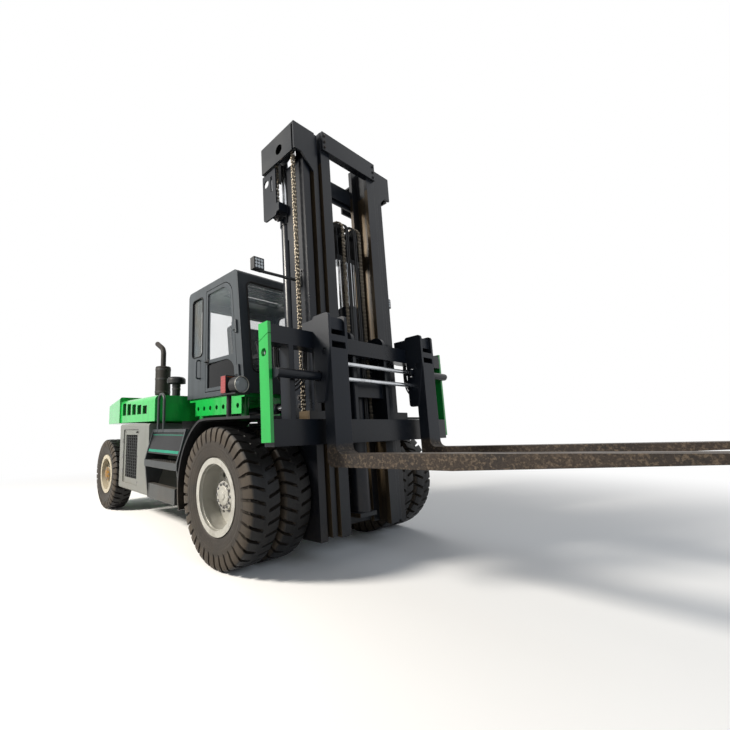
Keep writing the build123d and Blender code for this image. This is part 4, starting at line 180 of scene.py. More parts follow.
class Nodes:
    """A node tree that is filled by one method."""

    def __init__(self, tree):
        self.tree = tree
        tree.nodes.clear()

    def node(self, kind, settings=None, inputs=None):
        """Adds a node of a type, sets it up, then gives its sockets values or links."""
        node = self.tree.nodes.new(kind)
        for key, value in (settings or {}).items():
            setattr(node, key, value)
        for key, value in (inputs or {}).items():
            self.feed(self.find(node, key), value)
        return Placed(self, node)

    @staticmethod
    def find(node, key):
        """Input of a node by its identifier, or by its name or order."""
        for socket in node.inputs:
            if socket.identifier == key:
                return socket
        return node.inputs[key]

    def feed(self, socket, value):
        """Links a running number, colour or shader to a socket, or sets the socket's own value."""
        if isinstance(value, Value):
            self.tree.links.new(value.socket, socket)
        else:
            socket.default_value = value

    def looked_at(self):
        """1 for rays by which the camera, metal or glass sees a surface, 0 for light that falls on others."""
        path = self.node("ShaderNodeLightPath")
        mirrored = path.out("Is Glossy Ray").math("MAXIMUM", path.out("Is Transmission Ray"))
        return path.out("Is Camera Ray").math("MAXIMUM", mirrored)


class Shader(Nodes):
    """One material with its coordinates, its noise and its masks."""

    def __init__(self, name):
        self.material = bpy.data.materials.new(name)
        self.material.use_nodes = True
        super().__init__(self.material.node_tree)
        self.point = self.node("ShaderNodeTexCoord").out("Object")
        self.normal = self.node("ShaderNodeNewGeometry").out("Normal")

    def surface(self, shader):
        """Ends the material in a shader's output."""
        self.node("ShaderNodeOutputMaterial", None, {"Surface": shader})
        return self.material

    def noise(self, scale, detail=4.0, roughness=0.55, stretch=(1, 1, 1)):
        """Noise from 0 to 1 with about that many patches in a metre."""
        place = self.point
        if stretch != (1, 1, 1):
            place = self.node("ShaderNodeMapping", None, {"Vector": place, "Scale": stretch}).out()
        inputs = {"Vector": place, "Scale": scale, "Detail": detail, "Roughness": roughness}
        return self.node("ShaderNodeTexNoise", None, inputs).out(0)

    def streaks(self):
        """Dirt that ran down an upright face."""
        return self.noise(9.0, 4.0, 0.6, (1, 1, 0.12)).above(0.58, 0.3)

    def axis(self, vector, letter):
        return self.node("ShaderNodeSeparateXYZ", None, {0: vector}).out(letter.upper())

    def radius_from(self, hub):
        """Distance from a hub's line, which runs along y through the point that is given."""
        x = self.axis(self.point, "x") - hub[0]
        z = self.axis(self.point, "z") - hub[1]
        return (x * x + z * z) ** 0.5

    def along(self, way):
        """Distance from the mast's pivot along one of its directions."""
        difference, product = {"operation": "SUBTRACT"}, {"operation": "DOT_PRODUCT"}
        place = self.node("ShaderNodeVectorMath", difference, {0: self.point, 1: MAST_PIVOT}).out()
        return self.node("ShaderNodeVectorMath", product, {0: place, 1: way}).out("Value")

    def inside(self, letter, low, high, edge=0.002):
        """1 between two places along an axis and 0 outside them."""
        value = self.axis(self.point, letter)
        return value.above(low, edge) * (1 - value.above(high, edge))

    def mix(self, share, one, two):
        """Colour one where share is 0 and colour two where it is 1."""
        inputs = {"Factor_Float": share, "A_Color": one, "B_Color": two}
        return self.node("ShaderNodeMix", {"data_type": "RGBA"}, inputs).out(2)

    def bump(self, height, distance, strength=1.0, edge=0.0):
        """Height as relief; edge is the radius to which sharp edges of the solid are rounded."""
        inputs = {"Height": height, "Distance": distance, "Strength": strength}
        if edge:
            inputs["Normal"] = self.node("ShaderNodeBevel", {"samples": 4}, {"Radius": edge}).out()
        return self.node("ShaderNodeBump", None, inputs).out()

    def enamel(self):
        """Grain of sprayed paint, with the plate's edges rounded."""
        grain = self.noise(240.0, 2.0) * 0.35 + self.noise(14.0, 3.0)
        return self.bump(grain, ENAMEL_DEPTH, 0.5, PLATE_EDGE)

    def principled(self, colour, roughness, metallic=0.0, normal=None, **fixed):
        """Ends the material in a Principled shader; fixed holds values of its other sockets."""
        inputs = {"Base Color": colour, "Roughness": roughness, "Metallic": metallic,
                  "Specular IOR Level": 0.25}
        if normal is not None:
            inputs["Normal"] = normal
        inputs.update({key.replace("_", " "): value for key, value in fixed.items()})
        return self.surface(self.node("ShaderNodeBsdfPrincipled", None, inputs).out())


def dimmed(colour, share):
    """A colour with less light in it."""
    return tuple(channel * share for channel in colour[:3]) + (1.0,)


def dust_mask(shader, low, high, amount):
    """Dust that lies on faces that look up and near the ground."""
    up = shader.axis(shader.normal, "z").above(0.55, 0.7)
    height = 1 - shader.axis(shader.point, "z").above((low + high) / 2, high - low)
    patches = shader.noise(3.0, 6.0).above(0.5, 0.35)
    fine = shader.noise(38.0, 3.0).above(0.52, 0.4)
    return (up * 0.55 + height * 0.6) * (patches * 0.7 + 0.3) * (fine * 0.5 + 0.5) * amount


def paint(name, colour, roughness=0.38, dust=0.5, chips=0.5, low=0.2, high=1.1, coat=0.0):
    """Enamel on steel plate, with chips and dull streaks; dust thins out from the height low to high."""
    shader = Shader(name)
    broad = shader.noise(1.7, 3.0)
    base = shader.mix(broad.above(0.5, 0.6) * 0.35, colour, dimmed(colour, 0.72))
    base = shader.mix(shader.streaks() * 0.22, base, GRIME)
    dusty = dust_mask(shader, low, high, dust)
    base = shader.mix(dusty, base, DUST)
    specks = shader.noise(55.0, 2.0).above(0.74 - 0.05 * chips, 0.02)
    chipped = specks * shader.noise(4.0, 2.0).above(0.56, 0.1)
    base = shader.mix(chipped * chips, base, srgb(66, 56, 48))
    rough = broad * 0.16 + (roughness - 0.06) + dusty * 0.35
    fixed = {"Coat_Roughness": 0.12} if coat else {}
    return shader.principled(base, rough, 0.0, shader.enamel(), Coat_Weight=coat, **fixed)


def bare_metal(name, colour, roughness, metallic=1.0, stain=GREASE, stained=0.3, brushed=(1, 1, 1)):
    """Machined or plated steel with stains."""
    shader = Shader(name)
    stains = shader.noise(7.0, 5.0).above(0.56, 0.25) * stained
    lines = shader.noise(60.0, 3.0, 0.6, brushed)
    base = shader.mix(stains, colour, stain)
    rough = lines * 0.14 + (roughness - 0.05) + stains * 0.4
    metal = (1 - stains * 0.7) * metallic
    return shader.principled(base, rough, metal, shader.bump(lines, METAL_DEPTH, 0.4))


def rubber_finish(name, colour, hub, radius):
    """Tyre rubber: dusty brown walls and groove floors, darker rubbed lug tops."""
    shader = Shader(name)
    reach = shader.radius_from(hub)
    patches = shader.noise(5.0, 6.0, 0.65).above(0.5, 0.5)
    fine = shader.noise(70.0, 4.0).above(0.5, 0.5)
    rubbed = reach.above(radius - 0.012, 0.014)
    beside = shader.axis(shader.normal, "y").math("ABSOLUTE").above(0.6, 0.3)
    lugs = reach.above(radius * 0.80, 0.02) * beside
    dust = (patches * 0.15 + fine * 0.08 + lugs * 0.16) * (1 - rubbed * 0.8)
    base = shader.mix(dust, colour, srgb(104, 92, 78))
    base = shader.mix(rubbed * 0.7, base, srgb(21, 22, 24))
    rings = (reach * 210.0).math("SINE") * (1 - reach.above(radius * 0.82, 0.02)) * 0.4
    grain = shader.noise(180.0, 3.0) + shader.noise(25.0, 3.0) + rings
    return shader.principled(base, 0.5 + dust * 0.4, 0.0, shader.bump(grain, 0.0012, 0.7))


def worn_fork(name):
    """Fork: brown forged scale with rubbed streaks on the blade and shank, mast paint on its bracket."""
    shader = Shader(name)
    broad = shader.noise(2.4, 5.0)
    speckle = shader.noise(46.0, 4.0, 0.7)
    base = shader.mix(broad.above(0.52, 0.4), FORK_BROWN, srgb(40, 37, 36))
    base = shader.mix(speckle.above(0.56, 0.16) * 0.42, base, srgb(132, 116, 98))
    base = shader.mix(shader.noise(90.0, 3.0, 0.7).above(0.52, 0.1) * 0.4, base, srgb(24, 21, 19))
    top = shader.axis(shader.normal, "z").above(0.8, 0.3)
    rub = shader.noise(12.0, 4.0, 0.6, (0.15, 1, 1)).above(0.5, 0.25) * top
    base = shader.mix(rub * 0.4, base, srgb(120, 112, 104))
    ragged = shader.along(MAST_W) + (broad - 0.5) * 0.12
    forged = 1 - ragged.above(BLADE_PAINT_W, 0.05)
    base = shader.mix(forged, MAST_BLUE, base)
    rough = 0.62 - rub * 0.2 + speckle * 0.12 - (1 - forged) * 0.22
    return shader.principled(base, rough, 0.1, shader.bump(speckle + broad, 0.001, 0.6, 0.006))


def tank_paint(name):
    """Grey paint of the side tanks, dark in the recess of the mesh panel on either side."""
    shader = Shader(name)
    deep = shader.axis(shader.point, "y").math("ABSOLUTE").above(MESH_DEEP_Y, 0.002)
    recess = shader.inside("x", *MESH_X) * shader.inside("z", *MESH_Z) * deep
    broad = shader.noise(1.9, 4.0).above(0.5, 0.6)
    base = shader.mix(broad * 0.2 + shader.streaks() * 0.14, TANK_GREY, DRY_DIRT)
    base = shader.mix(dust_mask(shader, 0.3, 1.2, 0.35), base, DUST)
    base = shader.mix(recess, base, srgb(40, 42, 43))
    return shader.principled(base, 0.36 + recess * 0.2 + broad * 0.08, 0.0, shader.enamel())


def head_and_rod(name):
    """Chromed rod with its head painted black above it."""
    shader = Shader(name)
    head = shader.along(MAST_W).above(HEAD_LOW_W, 0.002)
    stains = shader.noise(7.0, 5.0, 0.6, (1, 1, 0.2)).above(0.56, 0.25) * 0.3
    base = shader.mix(head, shader.mix(stains, CHROME, GREASE), srgb(24, 25, 27))
    rough = 0.12 + stains * 0.4 + head * 0.34
    metal = (1 - head) * (1 - stains * 0.6)
    return shader.principled(base, rough, metal, shader.bump(shader.noise(120.0, 3.0), METAL_DEPTH, 0.4))


def lens_finish(name, colour):
    """Moulded lamp lens with a reeded back under a clear coat."""
    shader = Shader(name)
    reeds = (shader.axis(shader.point, "y") * 520.0).math("SINE") * 0.5 + 0.5
    pale = tuple(min(1.0, channel * 1.9 + 0.12) for channel in colour[:3]) + (1.0,)
    base = shader.mix(reeds * 0.45, colour, pale)
    return shader.principled(base, 0.08 + reeds * 0.05, 0.0, shader.bump(reeds, 0.0008, 0.6),
                             Coat_Weight=0.8, Coat_Roughness=0.05)


def glass_finish(name, tint, clear):
    """Thin window glass: mostly seen through, with a film of dust."""
    shader = Shader(name)
    film = shader.noise(3.0, 5.0).above(0.5, 0.6)
    alpha = film * 0.03 + (1 - clear)
    base = shader.mix(film, tint, srgb(170, 168, 160))
    return shader.principled(base, 0.04 + film * 0.08, 0.0, None, Alpha=alpha, IOR=1.45)


def door_glass_finish(name):
    """Door glass that is clear above the rail and nearly black below it."""
    shader = Shader(name)
    film = shader.noise(3.0, 5.0).above(0.5, 0.6)
    low = 1 - shader.axis(shader.point, "z").above(DOOR_RAIL_Z, 0.01)
    clear = shader.mix(film * 0.4, srgb(190, 206, 220), srgb(196, 198, 196))
    base = shader.mix(low, clear, srgb(12, 13, 14))
    alpha = low * 0.9 + film * 0.02 + 0.05
    return shader.principled(base, 0.05 + film * 0.06, 0.0, None, Alpha=alpha, IOR=1.45)


def rail_finish(name, colour):
    """Mast paint with warm brown streaks on the faces that look sideways, below the ears: partly greasy steel
    rubbed bare where the rollers run, partly a painted warm reflection of the light.
    """
    shader = Shader(name)
    flank = shader.axis(shader.normal, "y").math("ABSOLUTE").above(0.9, 0.05)
    grease_and_sheen = shader.noise(16.0, 4.0, 0.6, (1, 1, 0.05)).above(0.42, 0.4)
    # rubbed: greasy steel where the rollers run, together with a painted warm reflection on the sideways
    # faces
    rubbed = flank * grease_and_sheen * (1 - shader.along(MAST_W).above(GREASE_AND_SHEEN_TOP_W, 0.02))
    broad = shader.noise(1.9, 4.0).above(0.5, 0.6)
    base = shader.mix(rubbed * 0.85, shader.mix(broad * 0.2, colour, DRY_DIRT), srgb(92, 78, 58))
    return shader.principled(base, 0.27 + broad * 0.08, rubbed * 0.5, shader.enamel())


def plain(name, colour, roughness):
    """Moulded or soft surface with a fine grain."""
    shader = Shader(name)
    grain = shader.noise(240.0, 3.0)
    broad = shader.noise(3.75, 3.0)
    base = shader.mix(broad.above(0.5, 0.5) * 0.5, colour, dimmed(colour, 0.6))
    return shader.principled(base, roughness + broad * 0.12, 0.0, shader.bump(grain, 0.0004, 0.6))


FINISHES = {}
# Nodes whose finish is not named as their slot in the record is
OWN_FINISH = {"mast_middle": "mast_rails", "mast_inner": "mast_rails", "free_lift_rod": "rod_and_head",
              "steps": "step_grey", "door_glass_left": "door_glazing", "door_glass_right": "door_glazing"}


def make_finishes():
    """All materials of the truck, by the names of the record's slots where one fits."""
    looks = bpy.context.scene.forklift_looks
    FINISHES.update(
        frame_black=paint("frame_black", FRAME_BLACK, 0.42, looks.dust),
        axle_dark=paint("axle_dark", AXLE_DARK, 0.62, looks.dust * 1.4),
        green_paint=paint("green_paint", tuple(looks.green), 0.24, looks.dust * 0.3, 0.2, coat=0.5),
        engine_grey=paint("engine_grey", srgb(92, 94, 96), 0.5, looks.dust),
        grey_paint=tank_paint("grey_paint"),
        cab_grey=paint("cab_grey", CAB_GREY, 0.34, looks.dust * 0.2, 0.2),
        cab_glazing=glass_finish("cab_glazing", srgb(176, 192, 204), 0.88),
        door_glazing=door_glass_finish("door_glazing"),
        lens_work=lens_finish("lens_work", srgb(176, 180, 182)),
        step_grey=paint("step_grey", STEP_GREY, 0.42, looks.dust * 0.6, 0.5),
        seat_vinyl=plain("seat_vinyl", VINYL, 0.5),
        console_plastic=plain("console_plastic", srgb(40, 41, 44), 0.52),
        exhaust_black=paint("exhaust_black", srgb(34, 31, 29), 0.58, looks.dust * 0.5, 0.8),
        intake_black=plain("intake_black", srgb(30, 31, 33), 0.42),
        lamp_housing=plain("lamp_housing", srgb(30, 31, 33), 0.45),
        tyre_rubber=rubber_finish("tyre_rubber", RUBBER, DRIVE_HUB, DRIVE_R),
        steer_rubber=rubber_finish("steer_rubber", RUBBER, STEER_HUB, STEER_R),
        rim_silver=bare_metal("rim_silver", RIM_SILVER, 0.36, 0.4, srgb(96, 88, 78), 0.35),
        rim_cream=paint("rim_cream", RIM_CREAM, 0.4, looks.dust * 0.5, 0.4, 0.2, 0.8),
        mast_blue_grey=paint("mast_blue_grey", tuple(looks.mast), 0.27, looks.dust * 0.25, 0.5, 0.2, 1.4),
        chain_steel=bare_metal("chain_steel", CHAIN_DARK, 0.34, 0.7, GREASE, 0.4),
        chrome_rod=bare_metal("chrome_rod", CHROME, 0.14, 1.0, GREASE, 0.2, (1, 1, 0.1)),
        fork_brown=worn_fork("fork_brown"),
        mast_rails=rail_finish("mast_rails", tuple(looks.mast)),
        rod_and_head=head_and_rod("rod_and_head"),
        bolt_zinc=bare_metal("bolt_zinc", STEEL, 0.34, 0.9, GREASE, 0.5),
        bolt_dark=bare_metal("bolt_dark", srgb(58, 58, 60), 0.42, 0.5, GREASE, 0.5),
        hub_gold=bare_metal("hub_gold", GOLD, 0.36, 0.75, srgb(90, 62, 34), 0.35),
        gasket=plain("gasket", srgb(18, 18, 19), 0.6),
        hose=plain("hose", srgb(22, 22, 23), 0.5),
        lens_clear=lens_finish("lens_clear", srgb(146, 150, 154)),
        lens_red=lens_finish("lens_red", srgb(128, 14, 10)),
        lens_amber=lens_finish("lens_amber", srgb(206, 96, 18)),
        plate_black=plain("plate_black", srgb(20, 21, 23), 0.34),
        strip_teal=plain("strip_teal", TEAL, 0.4),
        knob_black=plain("knob_black", srgb(16, 16, 17), 0.3),
    )


# Hexagon head on its washer: the washer's share of the height and of the size across, then the head's
# pairs of height and radius in the same shares
WASHER_HIGH, WASHER_WIDE = 0.2, 0.95
BOLT_HEAD = ((0, 0.56), (0.72, 0.56), (0.86, 0.48))


class Form:
    """One joined mesh made of many small solids, placed in the truck's frame or in the mast's."""

    def __init__(self, place=None):
        self.shape = bmesh.new()
        self.place = place or Matrix.Identity(4)

    def skin(self, rings, looped=False):
        """Faces between rings of as many points each, with a cap at both ends or joined end to end."""
        rows = [[self.shape.verts.new(self.place @ Vector(point)) for point in ring] for ring in rings]
        steps = list(zip(rows, rows[1:]))
        if looped:
            steps.append((rows[-1], rows[0]))
        for low, high in steps:
            for index in range(len(low)):
                turn = (index + 1) % len(low)
                self.shape.faces.new((low[index], low[turn], high[turn], high[index]))
        if not looped:
            self.shape.faces.new(rows[0][::-1])
            self.shape.faces.new(rows[-1])

    def box(self, low, high):
        rings = [[(low[0], low[1], z), (high[0], low[1], z), (high[0], high[1], z), (low[0], high[1], z)]
                 for z in (low[2], high[2])]
        self.skin(rings)

    def turned(self, centre, axis, profile, steps):
        """Solid of revolution: pairs of distance along the axis and radius, from its centre."""
        centre, axis = Vector(centre), Vector(axis).normalized()
        side = axis.orthogonal().normalized()
        other = axis.cross(side)
        rings = []
        for along, radius in profile:
            rings.append([centre + axis * along + radius * (math.cos(turn) * side + math.sin(turn) * other)
                          for turn in angles(steps)])
        self.skin(rings)

    def rod(self, start, end, radius, steps=16):
        way = Vector(end) - Vector(start)
        self.turned(start, way, [(0, radius), (way.length, radius)], steps)

    def bolt(self, place, axis, across, height):
        """Hexagon head on its washer."""
        washer = across * WASHER_WIDE
        self.turned(place, axis, [(0, washer), (height * WASHER_HIGH, washer)], 16)
        self.turned(Vector(place) + Vector(axis).normalized() * height * WASHER_HIGH, axis,
                    [(height * along, across * reach) for along, reach in BOLT_HEAD], 6)

    def tube(self, points, radius, steps, looped=False, flat=1.0):
        """Tube along points, which its rings follow without twist; flat narrows it one way."""
        points = [Vector(point) for point in points]
        count = len(points)
        rings, side = [], None
        for index, point in enumerate(points):
            before = points[index - 1] if index or looped else point
            after = points[(index + 1) % count] if index + 1 < count or looped else point
            way = (after - before).normalized()
            side = (way.orthogonal() if side is None else side - way * side.dot(way)).normalized()
            other = way.cross(side)
            rings.append([point + radius * (math.cos(turn) * side + flat * math.sin(turn) * other)
                          for turn in angles(steps)])
        self.skin(rings, looped)

    def plate(self, outline, low, high, axis):
        """Flat outline drawn out along an axis; the outline's pairs are the other two axes in order."""
        spot = "xyz".index(axis)
        rings = []
        for level in (low, high):
            ring = [list(pair) for pair in outline]
            for pair in ring:
                pair.insert(spot, level)
            rings.append(ring)
        self.skin(rings)

    def piece(self, name, finish, body, slot, bevel=0.0, replaced=()):
        """Makes the object, with its finish, its smooth edges and the body that it rides on."""
        bmesh.ops.recalc_face_normals(self.shape, faces=self.shape.faces)
        mesh = bpy.data.meshes.new(name)
        self.shape.to_mesh(mesh)
        self.shape.free()
        mesh.shade_smooth()
        mesh.set_sharp_from_angle(angle=SHARP_EDGE)
        item = bpy.data.objects.new(name, mesh)
        bpy.context.scene.collection.objects.link(item)
        mesh.materials.append(FINISHES[finish])
        if bevel:
            edge = item.modifiers.new("edges", "BEVEL")
            edge.width, edge.segments, edge.limit_method = bevel, 2, "ANGLE"
        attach(item, body)
        if replaced:
            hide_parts(*replaced)


def angles(steps):
    """Equal turns of a full circle."""
    return [2 * math.pi * index / steps for index in range(steps)]


def rounded(low, high, radius, steps=5):
    """Corner points of a rectangle with round corners, as pairs."""
    corners = ((high[0] - radius, high[1] - radius, 0), (low[0] + radius, high[1] - radius, 1),
               (low[0] + radius, low[1] + radius, 2), (high[0] - radius, low[1] + radius, 3))
    points = []
    for x, y, quarter in corners:
        for index in range(steps + 1):
            turn = math.pi / 2 * (quarter + index / steps)
            points.append((x + radius * math.cos(turn), y + radius * math.sin(turn)))
    return points


class ForkliftLooks(bpy.types.PropertyGroup):
    """Colours and amounts that a user would change."""
    green: bpy.props.FloatVectorProperty(
        name="Body green", description="Enamel of the hood, decks and end plates",
        subtype="COLOR", size=4, min=0, max=1, default=GREEN)
    mast: bpy.props.FloatVectorProperty(
        name="Mast blue grey", description="Paint of the mast and carriage",
        subtype="COLOR", size=4, min=0, max=1, default=MAST_BLUE)
    dust: bpy.props.FloatProperty(
        name="Dust", description="How much dried dust lies on the truck",
        subtype="FACTOR", min=0, max=1, default=0.5)


class ForkliftStage(bpy.types.PropertyGroup):
    """Camera and floor."""
    eye: bpy.props.FloatVectorProperty(
        name="Camera place", description="Where the picture was taken from",
        subtype="TRANSLATION", unit="LENGTH", size=3, default=(3.5913, -3.062, 1.222))
    azimuth: bpy.props.FloatProperty(
        name="Azimuth", description="Way that the camera stands from the truck", subtype="ANGLE",
        default=math.radians(49.52))
    elevation: bpy.props.FloatProperty(
        name="Elevation", description="Height angle of the camera; below zero it looks up", subtype="ANGLE",
        default=math.radians(-6.93))
    roll: bpy.props.FloatProperty(
        name="Roll", description="Turn about the line of sight", subtype="ANGLE",
        default=math.radians(-0.788))
    lens: bpy.props.FloatProperty(
        name="Focal length", description="In millimetres on a 36 mm sensor", min=1, max=200, default=19.652)
    floor: bpy.props.FloatProperty(
        name="Floor radius", description="Radius of the floor", unit="LENGTH", min=1, max=200, default=60.0)


class FORKLIFT_OT_paint(bpy.types.Operator):
    """Give every piece of the frame its finish"""
    bl_idname = "forklift.paint"
    bl_label = "Finishes"

    def execute(self, context):
        make_finishes()
        slots = {part["node"]: part["material_slot"] for part in frame["record"]["subparts"]}
        for name, node in frame["nodes"].items():
            node.data.materials.clear()
            finish = OWN_FINISH.get(name, slots[name])
            node.data.materials.append(FINISHES[finish])
        return {"FINISHED"}


# Tread: height of the shoulder as a share of the wall, slant of a groove in pitches from the middle to the
# shoulder, and how deep a groove cuts into the wall as a share of its depth in the tread
SHOULDER_SHARE, GROOVE_SLANT, WALL_CUT = 0.17, 0.42, 0.6
# Where the slant begins, and over how much of the half width it runs
SLANT_FROM, SLANT_OVER = 0.1, 0.8
# Places in one lug pitch, with the groove's depth there on the left and on the right half
LUG_PITCH = ((0.08, 0, 1), (0.14, 0, 0), (0.36, 0, 0), (0.42, 1, 0),
             (0.58, 1, 0), (0.64, 0, 0), (0.86, 0, 0), (0.92, 0, 1))


def lugged_tyre(form, hub, middle_y, width, radius, bead, flange, groove):
    """Tyre with shoulder lugs on both sides, staggered, and slanting grooves between them."""
    half = width / 2
    wall = (radius + bead) / 2
    shoulder = radius - (radius - bead) * SHOULDER_SHARE
    # share of the half width, radius, share of the groove's depth, how far sideways the groove goes in
    profile = ((0.0, radius - 0.003, 0.0, 0.0), (0.10, radius - 0.002, 0.0, 0.0),
               (0.17, radius - 0.001, 0.35, 0.0), (0.30, radius, 1.0, 0.0), (0.55, radius - 0.001, 1.0, 0.0),
               (0.80, radius - 0.004, 1.0, 0.0), (0.90, radius - 0.018, 1.0, 0.3),
               (0.965, shoulder, 0.9, 0.6), (0.985, shoulder - 0.030, 0.9, 0.9),
               (0.99, shoulder - 0.058, 0.55, 1.0),
               (1.0, wall + 0.012, 0.0, 1.0), (0.995, wall - 0.012, 0.0, 1.0), (0.96, wall - 0.030, 0.0, 1.0),
               (0.965, wall - 0.036, 0.0, 1.0), (0.86, flange + 0.022, 0.0, 1.0),
               (0.84, flange + 0.012, 0.0, 1.0), (0.76, flange + 0.002, 0.0, 1.0), (0.73, flange, 0.0, 1.0),
               (0.72, bead + 0.001, 0.0, 0.0))
    rows = [(-share, reach, depth, lean, 2) for share, reach, depth, lean in profile[:0:-1]]
    rows += [(share, reach, depth, lean, 1) for share, reach, depth, lean in profile]
    rings = []
    for share, reach, depth, lean, side in rows:
        shear = GROOVE_SLANT * max(0.0, min(1.0, (abs(share) - SLANT_FROM) / SLANT_OVER))
        sign = 1 if share >= 0 else -1
        ring = []
        for lug in range(LUGS):
            for column in LUG_PITCH:
                turn = 2 * math.pi * (lug + column[0] + shear) / LUGS
                cut = groove * depth * column[side]
                size = reach - cut * (1 - lean)
                across = half * share - sign * cut * lean * WALL_CUT
                x, z = hub[0] + size * math.cos(turn), hub[1] + size * math.sin(turn)
                ring.append((x, middle_y + across, z))
        rings.append(ring)
    form.skin(rings, looped=True)


class FORKLIFT_OT_drive_tyres(bpy.types.Operator):
    """Twin tyres of the drive wheels, with their lugs"""
    bl_idname = "forklift.drive_tyres"
    bl_label = "Drive tyres"

    def execute(self, context):
        for name, side in SIDES.items():
            form = Form()
            for step in (0.0, TWIN_STEP):
                middle = side * (DRIVE_OUT - DRIVE_W / 2 - step)
                lugged_tyre(form, DRIVE_HUB, middle, DRIVE_W, DRIVE_R, DRIVE_BEAD, DRIVE_FLANGE, DRIVE_GROOVE)
            body = f"drive_wheels_{name}"
            form.piece(f"drive_tyres_lugged_{name}", "tyre_rubber", body, "tyre_rubber",
                       replaced=(f"drive_tyres_{name}",))
        return {"FINISHED"}


class FORKLIFT_OT_steer_tyres(bpy.types.Operator):
    """Steered tyres, with their lugs"""
    bl_idname = "forklift.steer_tyres"
    bl_label = "Steered tyres"

    def execute(self, context):
        for name, side in SIDES.items():
            form = Form()
            middle = side * (STEER_OUT - STEER_W / 2)
            lugged_tyre(form, STEER_HUB, middle, STEER_W, STEER_R, STEER_BEAD, STEER_FLANGE, STEER_GROOVE)
            form.piece(f"steer_tyre_lugged_{name}", "steer_rubber", f"steer_wheel_{name}", "tyre_rubber",
                       replaced=(f"steer_tyre_{name}",))
        return {"FINISHED"}


# Rings of nuts: distance from the truck's middle, radius of the ring, number of nuts, size across
DRIVE_NUTS = ((1.078, 0.144, 10, 0.028), (1.157, 0.104, 12, 0.018))
STEER_NUTS = ((1.083, 0.136, 8, 0.026), (1.153, 0.086, 8, 0.016))
NUT_HIGH = 0.75
# Turned caps: distance from the truck's middle, then pairs of distance outward and radius
DRIVE_CAPS = ((1.156, ((0, 0.090), (0.010, 0.088), (0.014, 0.080), (0.016, 0.040), (0.022, 0.036),
                       (0.024, 0.030))),)
STEER_CAPS = ((1.150, ((0, 0.1055), (0.003, 0.1055), (0.005, 0.102))),
              (1.150, ((0.004, 0.070), (0.014, 0.068), (0.020, 0.058), (0.023, 0.040), (0.024, 0.02))),
              (1.084, ((0, 0.116), (0.012, 0.116), (0.016, 0.107))))
# Lock ring in the outer drive rim's mouth: pairs of distance outward and how much smaller than the bead
LOCK_RING_Y = 1.220
LOCK_RING = ((0.0, 0.012), (0.008, 0.016), (0.008, 0.024), (-0.012, 0.022))


class FORKLIFT_OT_wheel_hubs(bpy.types.Operator):
    """Wheel nuts, hub caps and lock rings"""
    bl_idname = "forklift.wheel_hubs"
    bl_label = "Wheel nuts and hubs"

    def execute(self, context):
        for name, side in SIDES.items():
            drive, steer = f"drive_wheels_{name}", f"steer_wheel_{name}"
            nuts = self.nuts(DRIVE_HUB, side, DRIVE_NUTS)
            nuts.piece(f"drive_nuts_{name}", "bolt_zinc", drive, "rim_silver")
            caps = self.caps(DRIVE_HUB, side, DRIVE_CAPS)
            self.lock_ring(caps, side)
            caps.piece(f"drive_hub_cap_{name}", "rim_silver", drive, "rim_silver", bevel=0.0008)
            nuts = self.nuts(STEER_HUB, side, STEER_NUTS)
            nuts.piece(f"steer_nuts_{name}", "bolt_zinc", steer, "rim_cream")
            caps = self.caps(STEER_HUB, side, STEER_CAPS)
            caps.piece(f"steer_hub_cap_{name}", "hub_gold", steer, "rim_cream")
        return {"FINISHED"}

    @staticmethod
    def nuts(hub, side, table):
        """Rings of nuts round a hub."""
        form = Form()
        for y, radius, count, across in table:
            for turn in angles(count):
                place = (hub[0] + radius * math.cos(turn), side * y, hub[1] + radius * math.sin(turn))
                form.bolt(place, (0, side, 0), across, across * NUT_HIGH)
        return form

    @staticmethod
    def caps(hub, side, table):
        """Turned covers and rings on a hub."""
        form = Form()
        for y, profile in table:
            form.turned((hub[0], side * y, hub[1]), (0, side, 0), profile, 40)
        return form

    @staticmethod
    def lock_ring(form, side):
        """Ring that holds the tyre's bead in the mouth of the rim."""
        rings = []
        for along, inset in LOCK_RING:
            size = DRIVE_BEAD - inset
            rings.append([(DRIVE_HUB[0] + size * math.cos(turn), side * (LOCK_RING_Y + along),
                           DRIVE_HUB[1] + size * math.sin(turn)) for turn in angles(72)])
        form.skin(rings, looped=True)


# Chains: sheave's place and radius, heights of the front and the rear end, width over the plates
SIDE_CHAIN = (SHEAVE_U, SHEAVE_W, SHEAVE_R, 0.715, 2.930, 0.050)
CENTRE_CHAIN = (HEAD_U, HEAD_W, HEAD_R, 0.600, 1.250, 0.040)
# Links: pitch, free end before the first pin, radius of a plate's ends, half height of its waist, half its
# thickness, radius of a pin, and turns of the points round a plate's end
LINK_PITCH, LINK_END, LINK_R, LINK_WAIST, LINK_HALF_T, PIN_R = 0.040, 0.011, 0.0108, 0.0072, 0.0036, 0.0042
LINK_TURNS = (-1.1, -0.4, 0.4, 1.1)
# Middle of the outermost plates, in from the chain's edge
OUTER_PLATE_IN = 0.004


